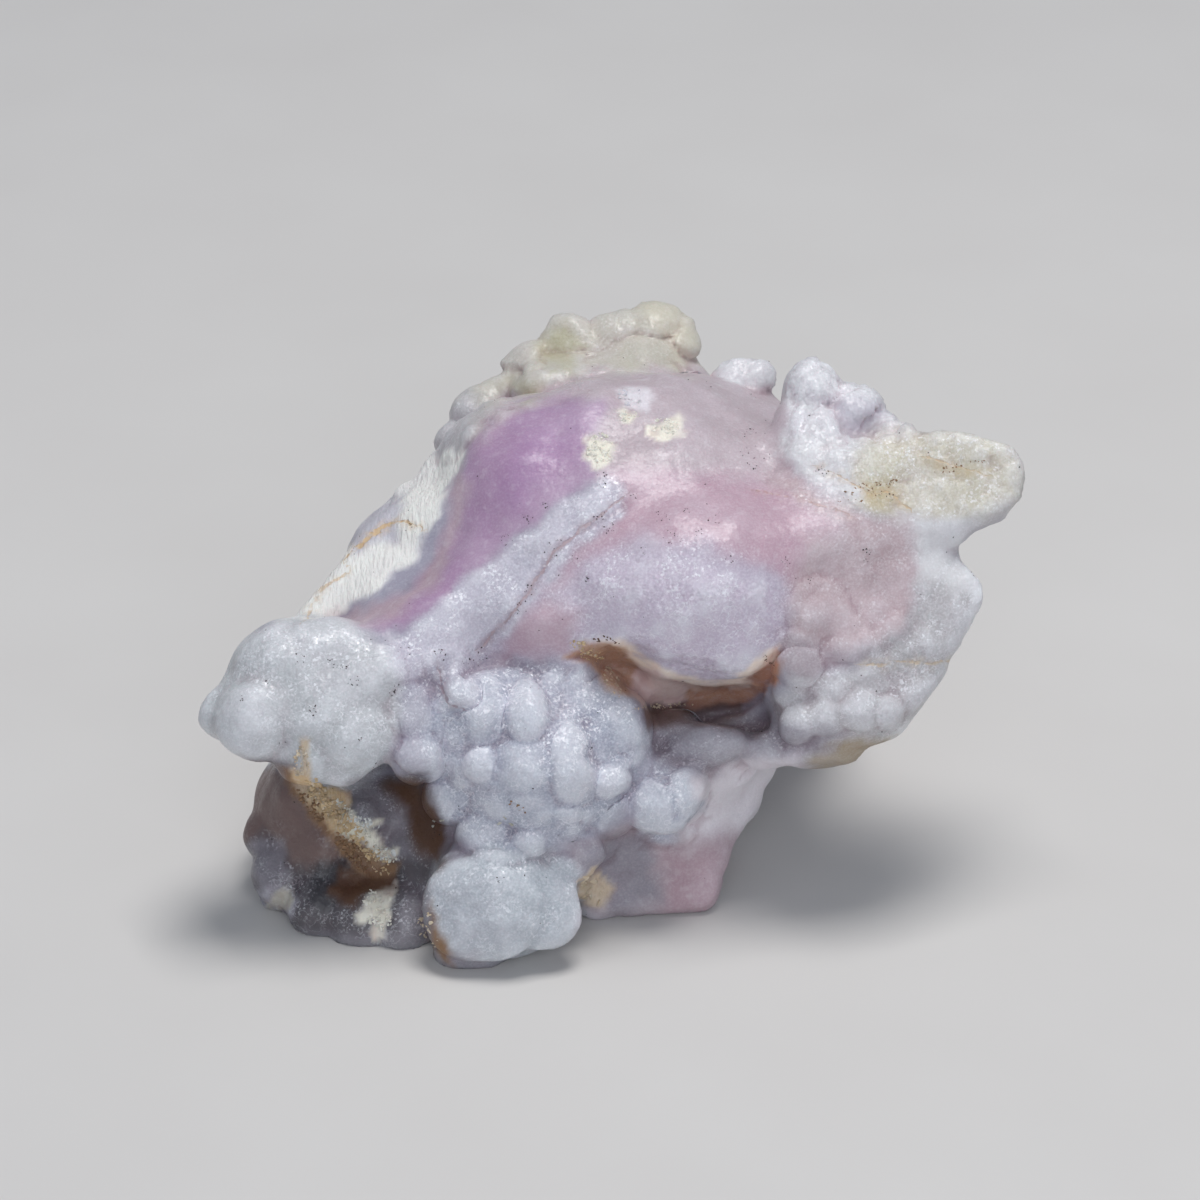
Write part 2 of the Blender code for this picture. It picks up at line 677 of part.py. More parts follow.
def thin_out(body):
    """Fewer, larger facets, most of them kept where the form is fine."""
    thin = body.modifiers.new("facets", "DECIMATE")
    thin.ratio = TARGET_TRIANGLES / (2 * len(body.data.polygons))
    mesh = evaluated_mesh(body)
    body.modifiers.clear()
    body.data = mesh


def opal_material():
    material = bpy.data.materials.new("pink_opal")
    material.use_nodes = True
    shader = material.node_tree.nodes["Principled BSDF"]
    shader.inputs["Base Color"].default_value = OPAL_COLOUR
    shader.inputs["Roughness"].default_value = OPAL_ROUGHNESS
    shader.inputs["Metallic"].default_value = 0.0
    return material


def main():
    clear_scene()
    specimen = bpy.data.collections.new("pink_opal_specimen")
    bpy.context.scene.collection.children.link(specimen)
    stone = build_body("pink_opal")
    grow_knobs(stone)
    carve(stone.data, SKIN_HOLLOWS, CRACK_PATH, CHIPS)
    flatten_feet(stone.data, 0.0)
    thin_out(stone)
    flatten_feet(stone.data, FLAT_HEIGHT)
    stone.data.materials.clear()
    stone.data.materials.append(opal_material())
    stone.data.shade_smooth()
    bpy.context.scene.collection.objects.unlink(stone)
    specimen.objects.link(stone)


main()
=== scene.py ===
"""Pink opal specimen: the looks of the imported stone.

The stone's form is made again as part.py makes it, with a finer skin, and is painted and lit here.
It is laid out in its display face, a plane that leans back from the vertical. A place in that face is
(across, up, out) in millimetres: across to the right, up the face, and out of it towards the viewer.
"""

import math
import random

import bmesh
import bpy
import numpy as np
from mathutils import Matrix, Vector, noise
from mathutils.bvhtree import BVHTree


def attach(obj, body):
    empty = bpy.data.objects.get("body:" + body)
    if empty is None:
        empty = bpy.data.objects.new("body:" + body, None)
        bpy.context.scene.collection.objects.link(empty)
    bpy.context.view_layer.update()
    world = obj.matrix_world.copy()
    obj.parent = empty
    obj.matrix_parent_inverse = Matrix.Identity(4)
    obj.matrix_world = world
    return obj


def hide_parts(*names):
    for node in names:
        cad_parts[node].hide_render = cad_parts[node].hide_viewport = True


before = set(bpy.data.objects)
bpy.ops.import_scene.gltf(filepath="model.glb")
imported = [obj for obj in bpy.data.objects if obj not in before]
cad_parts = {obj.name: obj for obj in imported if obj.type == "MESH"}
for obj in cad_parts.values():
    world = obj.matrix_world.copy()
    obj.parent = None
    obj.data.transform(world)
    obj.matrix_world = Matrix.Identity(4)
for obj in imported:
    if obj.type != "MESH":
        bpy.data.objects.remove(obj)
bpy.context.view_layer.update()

# Driving dimensions, in metres and degrees
MM = 0.001
FACE_LEAN = 60.0
BODY_VOXEL = 0.9 * MM
SKIN_VOXEL = 0.37 * MM
BODY_SMOOTHING = 5
LOBE_SMOOTHING = 2
SKIN_SMOOTHING = 1
SMOOTH_FACTOR = 0.5

# A lump is (across, up, out, radius) or (across, up, out, half width, half height, half depth, roll).
CORE = [
    (3.0, 24.5, 0.0, 17.0, 14.6, 15.0, 0),
    (9.4, 32.8, -3.6, 8.4, 6.6, 8.0, -6),
    (0.0, 17.0, 0.0, 16.0, 12.0, 9.4, 0),
    (-1.0, 9.0, -3.0, 13.0, 10.0, 11.0, 0),
    (-9.0, 23.0, -11.5, 12.0, 10.5, 11.0, 0),
    (9.0, 24.0, -11.0, 11.5, 11.0, 11.0, 0),
    (0.0, 16.0, -13.0, 12.0, 9.0, 9.0, 0),
    (0.0, 34.2, -10.5, 10.8, 7.0, 8.0, 0),
    (3.4, 38.8, -10.0, 4.2, 4.8, 5.6, 0),
    (-3.4, 38.0, -10.0, 4.6, 4.4, 5.6, 20),
    (-14.6, 21.8, 4.4, 5.6, 5.0, 6.4, 0),
    (-5.5, 29.7, 0.5, 7.6, 8.6, 12.0, 0),
    (-12.0, 26.4, 3.4, 4.4, 4.6, 5.8, 0),
    (-1.0, 31.0, 1.0, 8.0, 7.4, 11.6, 0),
]
LEFT_BULB = [
    (-22.4, 17.2, 11.0, 5.6, 4.0, 4.8, -8),
    (-21.0, 13.6, 11.6, 5.4, 4.2, 4.8, 0),
    (-18.0, 16.6, 11.2, 5.0, 4.4, 4.8, 0),
    (-26.0, 14.6, 11.0, 3.6),
]
DOME = [
    (7.4, 24.0, 9.0, 11.0, 7.4, 8.6, 2),
    (-3.8, 22.4, 8.4, 6.4, 4.4, 6.2, 40),
    (13.0, 23.0, 8.6, 5.6, 5.6, 6.6, 0),
]
CLUSTER = [
    (-5.0, 10.5, 7.2, 7.7, 6.8, 7.0, 0),
    (-10.6, 14.6, 7.6, 5.4, 4.4, 5.4, 0),
    (5.6, 10.8, 4.4, 7.0, 4.0, 5.0, 0),
]
FRONT_FOOT = [
    (-7.6, 0.6, 7.4, 5.2, 4.6, 5.2, 0),
    (-5.0, 4.4, 7.4, 4.2),
]
GREY_CORNER = [
    (-18.2, 3.0, -0.6, 8.0, 7.4, 8.0, 0),
    (-22.2, 6.6, 0.6, 4.6, 5.2, 5.4, 0),
    (-12.6, 4.0, 1.0, 5.6, 6.4, 6.0, 0),
]
WING = [
    (18.8, 18.8, 8.0, 7.4, 6.8, 5.4, -10),
    (16.8, 26.0, 7.6, 8.4, 6.8, 6.6, 0),
    (18.6, 13.8, 8.6, 6.0, 3.0, 4.0, 8),
]
HORN = [
    (20.0, 31.6, 7.6, 5.0, 4.4, 4.6, 0),
    (23.6, 27.8, 8.6, 4.0, 3.4, 3.8, 30),
]
ICY_CREST = [
    (17.4, 35.4, 5.4, 3.8, 3.4, 3.6, 0),
    (15.6, 33.6, 6.0, 3.4),
]

# A knob is a small sphere or ellipsoid grown on the masses, and is written as a lump is.
BULB_KNOBS = [
    (-25.8, 13.6, 13.4, 3.2),
    (-28.0, 14.2, 11.2, 2.3),
    (-24.4, 17.8, 12.0, 3.4, 2.5, 2.8, 20),
    (-20.2, 18.2, 12.6, 4.4, 2.9, 3.0, -6),
    (-18.6, 12.6, 12.8, 3.7, 3.4, 3.4, 0),
    (-22.0, 11.2, 12.8, 2.7),
    (-16.6, 17.2, 12.6, 3.0),
    (-19.6, 10.6, 12.2, 2.6, 2.2, 2.6, 0),
    (-14.2, 13.2, 12.0, 1.7, 2.4, 2.0, 0),
    (-14.0, 10.3, 11.8, 1.9),
    (-12.2, 12.6, 10.8, 2.0),
    (-11.4, 15.8, 12.6, 1.6, 2.2, 1.6, -20),
]
CLUSTER_KNOBS = [
    (4.9, 7.4, 7.4, 2.6, 2.4, 2.8, 0),
    (3.8, 9.6, 7.8, 2.2),
]
SHELF_KNOBS = [
    (8.8, 11.4, 7.4, 3.1, 1.7, 2.8, 0),
    (12.6, 11.0, 7.6, 2.0, 1.5, 2.0, 0),
    (5.8, 12.6, 7.4, 2.2, 1.6, 2.0, 0),
    (16.8, 10.8, 8.2, 3.2, 1.2, 2.8, 4),
]
WING_KNOBS = [
    (15.0, 17.8, 11.9, 1.9),
    (17.0, 21.0, 10.0, 2.8, 2.2, 2.2, 30),
    (19.6, 16.0, 9.8, 3.4, 2.2, 2.2, 14),
    (23.0, 17.6, 10.4, 3.6, 2.2, 2.0, 20),
]
REAR_CREST_KNOBS = [
    (-10.8, 34.4, -7.0, 1.9),
    (-9.2, 36.8, -7.6, 2.2),
    (-7.0, 38.6, -8.0, 1.9),
    (-5.2, 41.0, -8.8, 2.1),
    (-2.2, 42.4, -9.0, 2.3),
    (0.6, 42.4, -9.0, 2.2),
    (3.2, 43.1, -9.0, 2.2),
    (5.0, 43.7, -9.2, 2.0),
    (6.4, 42.0, -8.8, 1.8),
    (7.0, 39.8, -8.6, 1.4),
    (-4.6, 39.4, -5.4, 2.6, 1.8, 2.0, 30),
    (0.0, 40.4, -5.0, 2.6, 1.6, 2.0, 0),
    (3.8, 40.8, -5.4, 2.4, 1.6, 2.0, 0),
    (10.6, 40.2, -4.8, 1.6),
    (12.4, 40.0, -4.6, 1.4),
]
ICY_KNOBS = [
    (16.4, 38.0, 6.0, 2.6),
    (15.2, 35.4, 6.8, 2.2, 2.8, 2.2, 0),
    (16.2, 32.8, 8.4, 2.4, 2.0, 2.4, -30),
]
FOOT_KNOBS = [
    (-10.0, -4.2, 8.2, 3.0, 1.9, 2.2, 0),
    (-7.0, -0.7, 8.4, 5.3, 4.1, 4.2, 0),
    (-3.4, 3.0, 7.8, 3.2, 2.6, 3.0, 0),
    (-25.2, 4.2, 0.8, 2.4),
    (-24.4, 1.0, 2.0, 2.7),
    (-21.6, -1.2, 4.0, 2.7),
    (-18.2, -2.1, 4.9, 2.8),
    (-14.8, -1.9, 5.3, 2.8),
    (-12.2, -1.2, 5.8, 2.3),
]

# A lobe grows nearly flush on the skin: (across, up, half width, half height, roll, rise).
CLUSTER_LOBES = [
    (-9.2, 13.5, 2.9, 2.6, 0, 1.2),
    (-5.9, 16.0, 1.6, 1.3, 0, 0.5),
    (-3.6, 16.0, 1.2, 1.1, 0, 0.4),
    (0.3, 13.7, 3.1, 2.7, -10, 1.2),
    (2.1, 11.2, 1.5, 2.1, 0, 0.8),
    (-5.3, 13.2, 1.4, 2.2, 4, 1.5),
    (-5.4, 9.8, 1.9, 1.9, 0, 0.8),
    (-2.5, 10.0, 1.3, 2.0, 0, 0.8),
    (0.5, 9.0, 1.6, 1.3, 0, 1.1),
    (-8.9, 9.9, 1.6, 1.2, 0, 1.1),
    (-11.3, 7.8, 1.7, 1.8, 0, 1.2),
    (-12.0, 10.2, 1.3, 1.4, 0, 0.8),
    (-8.3, 5.2, 2.0, 2.0, 0, 0.8),
    (-5.2, 4.7, 1.3, 1.1, 0, 0.8),
    (-4.2, 6.8, 1.3, 1.1, 0, 0.7),
    (-2.2, 6.2, 1.0, 1.2, 0, 1.0),
    (0.6, 6.4, 1.9, 1.4, 0, 1.2),
    (-7.2, 7.5, 1.3, 1.1, 0, 0.5),
    (3.9, 6.2, 1.3, 1.2, 0, 0.6),
    (6.0, 7.6, 1.4, 1.5, 20, 0.5),
    (4.8, 9.9, 1.4, 0.9, 0, 0.4),
    (8.0, 11.8, 2.1, 1.1, 0, 0.7),
    (-13.6, 14.1, 1.2, 2.0, 0, 0.6),
    (-14.1, 11.0, 1.3, 1.2, 0, 1.0),
    (-10.6, 15.6, 1.1, 1.0, 0, 0.9),
]
WING_LOBES = [
    (15.5, 20.9, 1.9, 1.7, 0, 0.8),
    (18.0, 20.8, 1.3, 1.4, 0, 0.6),
    (18.3, 18.8, 1.5, 1.3, 0, 0.6),
    (20.2, 19.1, 1.0, 1.2, 0, 0.6),
    (19.9, 21.6, 1.5, 1.2, 0, 0.5),
    (21.8, 20.2, 1.3, 1.1, 0, 0.6),
    (19.4, 17.3, 1.7, 0.9, 15, 0.5),
    (14.3, 15.3, 0.9, 1.0, 0, 0.9),
    (14.9, 13.6, 1.2, 1.3, 0, 1.2),
    (16.9, 13.9, 1.4, 1.4, 0, 1.0),
    (17.6, 16.0, 1.1, 1.0, 0, 0.6),
    (19.5, 14.1, 1.3, 1.6, 0, 1.0),
    (21.4, 14.2, 1.2, 1.4, 0, 0.9),
    (23.4, 15.4, 1.5, 1.0, 30, 0.5),
    (23.6, 18.9, 2.4, 0.9, 8, 0.4),
]
FOOT_LOBES = [
    (-9.0, -0.9, 3.2, 2.8, 0, 0.6),
    (-3.8, -0.9, 1.9, 2.2, 0, 0.5),
    (-10.6, 2.0, 1.2, 1.1, 0, 0.6),
    (-6.3, 2.2, 1.5, 1.0, 0, 0.5),
    (-2.8, 3.3, 2.0, 1.4, 0, 0.6),
    (-1.6, 4.8, 1.4, 1.0, 0, 0.5),
]
LOBE_SHARE = 0.4
LOBE_SPREAD = 1.5

# A roll is a rounded ridge along a path of (across, up, out, radius) points.
RIDGE_PATH = [
    (-17.0, 17.4, 11.0, 3.6),
    (-12.8, 19.9, 10.8, 3.5),
    (-9.6, 22.6, 10.0, 3.4),
    (-6.6, 25.6, 10.2, 3.3),
    (-3.4, 28.2, 10.6, 3.2),
    (0.0, 29.6, 10.9, 3.0),
    (1.0, 30.2, 10.7, 2.8),
]
RIND_PATH = [
    (-22.4, 20.8, 7.0, 1.4),
    (-20.4, 22.4, 6.6, 1.9),
    (-17.4, 25.8, 5.0, 2.0),
    (-14.4, 29.4, 3.0, 1.9),
    (-12.0, 31.8, 1.2, 1.5),
]
RIND_CREST_PATH = [
    (-18.8, 26.4, 2.0, 1.0),
    (-16.0, 28.8, 1.0, 1.3),
    (-13.2, 31.8, -0.4, 1.1),
]
LIP_PATH = [
    (2.6, 20.4, 11.6, 1.5),
    (5.0, 19.2, 12.3, 1.7),
    (8.0, 18.3, 12.9, 1.8),
    (10.8, 18.4, 12.9, 1.8),
    (13.2, 20.4, 12.2, 1.6),
]
ROLL_STEP = 0.25

# Angular pieces, as the corners of their convex hulls
RIGHT_BASE_CORNERS = [
    (-2.0, -2.8, 4.8),
    (8.0, -2.2, 3.8),
    (9.6, 2.0, 0.8),
    (10.8, 5.0, 0.6),
    (14.8, 10.4, 0.2),
    (10.0, 11.4, 5.4),
    (2.0, 10.0, 7.0),
    (-2.0, 4.0, 6.0),
    (2.0, 4.0, -10.0),
    (12.0, 12.0, -8.0),
]
LUMP_CORNERS = [
    (2.9, 9.4, 9.6),
    (5.4, 10.4, 9.2),
    (8.3, 9.2, 8.6),
    (7.9, 7.0, 8.8),
    (5.6, 4.8, 9.0),
    (3.2, 5.0, 9.2),
    (2.4, 7.4, 9.6),
    (4.0, 7.2, 11.0),
    (6.2, 8.2, 10.8),
    (4.0, 9.0, 5.0),
    (6.0, 6.4, 5.0),
]
RIND_CORNERS = [
    (-22.0, 20.0, 5.0),
    (-18.8, 20.4, 7.2),
    (-18.0, 26.4, 0.6),
    (-13.6, 31.4, -0.8),
    (-11.4, 32.4, -0.6),
    (-10.6, 31.6, 1.4),
    (-13.0, 28.4, 3.8),
    (-16.2, 23.2, 6.2),
    (-15.0, 20.0, -12.0),
    (-10.0, 28.0, -12.0),
    (-15.0, 12.0, -4.0),
]
HORN_CORNERS = [
    (17.0, 34.6, 8.0),
    (23.0, 35.6, 10.4),
    (28.4, 35.6, 11.6),
    (31.6, 34.8, 11.8),
    (32.9, 32.4, 12.0),
    (32.6, 29.8, 12.0),
    (29.8, 27.5, 12.2),
    (25.4, 27.6, 12.4),
    (18.0, 28.0, 11.6),
    (23.0, 34.8, 5.6),
    (31.8, 33.0, 7.4),
    (31.0, 29.6, 7.6),
    (24.0, 28.0, 6.0),
    (17.0, 30.0, 4.0),
]
ICY_CORNERS = [
    (15.6, 36.4, 8.2),
    (17.6, 39.4, 6.4),
    (19.6, 38.4, 6.0),
    (21.4, 37.0, 6.2),
    (22.6, 35.0, 7.4),
    (20.0, 34.6, 9.6),
    (16.6, 34.4, 9.6),
    (18.0, 38.0, 2.4),
    (22.0, 35.4, 3.4),
]
WING_CORNERS = [
    (26.0, 25.8, 11.4),
    (30.3, 25.3, 11.0),
    (30.5, 23.2, 11.0),
    (28.6, 20.6, 11.4),
    (26.8, 17.0, 11.6),
    (24.2, 13.8, 11.8),
    (20.6, 12.2, 11.4),
    (14.6, 12.0, 10.4),
    (16.0, 22.0, 12.2),
    (22.0, 24.6, 12.4),
    (26.4, 24.4, 8.0),
    (25.2, 17.0, 8.0),
    (20.0, 12.6, 6.0),
    (14.0, 18.0, 2.0),
]
ANGULAR_PIECES = [RIGHT_BASE_CORNERS, LUMP_CORNERS, RIND_CORNERS, HORN_CORNERS, ICY_CORNERS, WING_CORNERS]

# A patch of seeded knobs: (across, up, half width, half height, roll, how many, least radius, most
# radius, sink), the sink being how much of its radius a knob goes in.
KNOB_PATCHES = [
    (22.6, 21.0, 5.0, 4.0, -10, 10, 1.2, 2.0, 0.9),
    (-18.0, 2.8, 8.0, 6.0, 0, 16, 1.6, 2.7, 0.84),
    (-1.0, 41.6, 8.4, 2.8, 6, 34, 0.9, 1.8, 0.72),
    (-9.6, 36.6, 2.2, 3.6, -40, 12, 0.9, 1.6, 0.74),
    (25.4, 31.6, 7.2, 3.6, 0, 16, 1.2, 2.4, 0.92),
    (17.6, 36.0, 4.0, 3.6, -10, 18, 0.6, 1.2, 0.75),
    (9.0, 10.8, 6.0, 2.2, 4, 12, 0.8, 1.5, 0.8),
]
PATCH_SPACING = 1.15
PATCH_TRIES = 12
PATCH_SEED = 11
VIEWER_OUT = 60.0

# A chip flattens what stands past a plane: (across, up, out), the way it faces, and its reach.
CHIPS = [
    ((12.4, 8.4, 3.6), (0.75, -0.25, 0.6), 3.4),
    ((6.6, 2.4, 4.6), (0.2, -0.2, 0.96), 4.0),
    ((19.4, 36.4, 7.8), (0.35, 0.5, 0.79), 2.2),
    ((17.4, 35.6, 9.2), (-0.2, 0.5, 0.84), 2.0),
    ((21.4, 35.2, 8.2), (0.1, 0.75, 0.65), 2.0),
]

# A hollow presses the surface in: (across, up, least out, half width, half height, roll, depth).
BODY_HOLLOWS = [
    (6.4, 14.6, 2.0, 8.6, 3.6, -4, 4.0),
    (1.4, 17.0, 2.0, 3.6, 2.4, 30, 3.6),
    (-17.6, 2.6, 0.0, 4.4, 3.0, 20, 2.4),
]
HOLLOW_EASE = 1.5
SKIN_HOLLOWS = [
    (-15.0, 6.0, 0.0, 3.2, 3.2, 0, 1.0),
    (3.4, 1.2, 0.0, 4.0, 2.6, 30, 0.6),
]

# A crack is cut along a path of (across, up) points, with its half width and depth.
CRACK_PATH = [
    (1.9, 29.6),
    (0.0, 28.5),
    (-1.9, 27.4),
    (-3.4, 26.2),
    (-4.5, 24.6),
    (-5.6, 22.9),
    (-7.1, 20.9),
    (-9.0, 18.8),
]
CRACK_WIDTH = 0.55
CRACK_DEPTH = 0.25
CRACK_FACING = 0.2

# Knobs on the sides that the display face doesn't show: how many, least radius, most radius, how much
# of its radius one goes in, and how far a surface must be turned from the viewer to carry them.
WILD_LOBES = (90, 3.6, 6.4, 0.6, 0.35)
WILD_KNOBS = (420, 1.3, 2.9, 0.6, 0.0)
WILD_FADE = 0.5
WILD_MIDDLE = (0.0, 19.0, -3.0)
WILD_REACH = 100.0 * MM
WILD_SEED = 7
THIN_SHARE = 0.36

# The display face stands on this point of the ground, which puts the origin under the stone's middle.
FACE_FOOT = (-0.9, -11.7, 0.0)
FACE = Matrix.Translation(Vector(FACE_FOOT) * MM) @ Matrix.Rotation(math.radians(FACE_LEAN), 4, "X")
FACE_TURN = np.array(FACE.to_3x3())
FACE_START = np.array(FACE.to_translation()) @ FACE_TURN

# Looks. Places from here on are (x, y) pixels of the photograph, 1200 wide, read off it.
PIXEL = 0.075
PICTURE_MIDDLE = 600.0
VIEW_DISTANCE = 420.0
VIEW_OUT = 14.0
VIEW_UP = 22.5
FRAME_WIDTH = 90.0

COLOURS = {
    "bulb": (0.46, 0.48, 0.495),
    "ridge": (0.50, 0.48, 0.56),
    "lilac": (0.31, 0.30, 0.37),
    "blue_lilac": (0.33, 0.355, 0.435),
    "magenta": (0.36, 0.23, 0.36),
    "deep_magenta": (0.34, 0.20, 0.35),
    "pink": (0.46, 0.31, 0.375),
    "dome": (0.55, 0.47, 0.58),
    "peach": (0.46, 0.35, 0.37),
    "mauve": (0.42, 0.31, 0.36),
    "top": (0.46, 0.38, 0.41),
    "cream": (0.50, 0.475, 0.40),
    "yellow": (0.43, 0.41, 0.28),
    "chalk": (0.80, 0.80, 0.76),
    "ice": (0.62, 0.62, 0.64),
    "facet": (0.50, 0.49, 0.54),
    "horn": (0.54, 0.51, 0.40),
    # neck: pale grey-white; along the wing's edge and under the horn it is painted light
    "neck": (0.64, 0.64, 0.65),
    "wing": (0.42, 0.405, 0.415),
    # Painted shade: near-black for the hollow under the vein
    "hole_shade": (0.045, 0.043, 0.05),
    "mist": (0.20, 0.185, 0.21),
    # umber: the dark band under the cavity's lip, and painted shadow at the grey corner's left
    "umber": (0.17, 0.115, 0.105),
    # grey: the grey corner's own dark grey-lilac, with painted shade from the bulb above it
    "grey": (0.11, 0.10, 0.11),
    "smoke": (0.26, 0.24, 0.28),
    "tawny": (0.34, 0.27, 0.30),
    # brown: painted shade in the gap beside the cluster and in the hollow under the vein, and the colour of
    # small dark grains in the cavity
    "brown": (0.11, 0.055, 0.032),
    "rust": (0.42, 0.22, 0.12),
    "cavity": (0.52, 0.31, 0.19),
    "pane": (0.72, 0.56, 0.52),
    "russet": (0.48, 0.25, 0.16),
    "ochre": (0.62, 0.44, 0.25),
    "tan": (0.60, 0.48, 0.34),
    "sugar": (0.84, 0.80, 0.68),
    "foot": (0.38, 0.42, 0.46),
    "base": (0.36, 0.29, 0.32),
    "base_pink": (0.42, 0.29, 0.33),
    "cloud": (0.56, 0.51, 0.57),
    "pale": (0.70, 0.66, 0.70),
    # lip: cream-peach, made brighter as painted light on a band that lies in shade
    "lip": (0.90, 0.74, 0.61),
    "stain": (0.50, 0.43, 0.28),
    "bister": (0.26, 0.15, 0.08),
    "olive": (0.32, 0.25, 0.16),
    "pepper": (0.03, 0.024, 0.022),
}

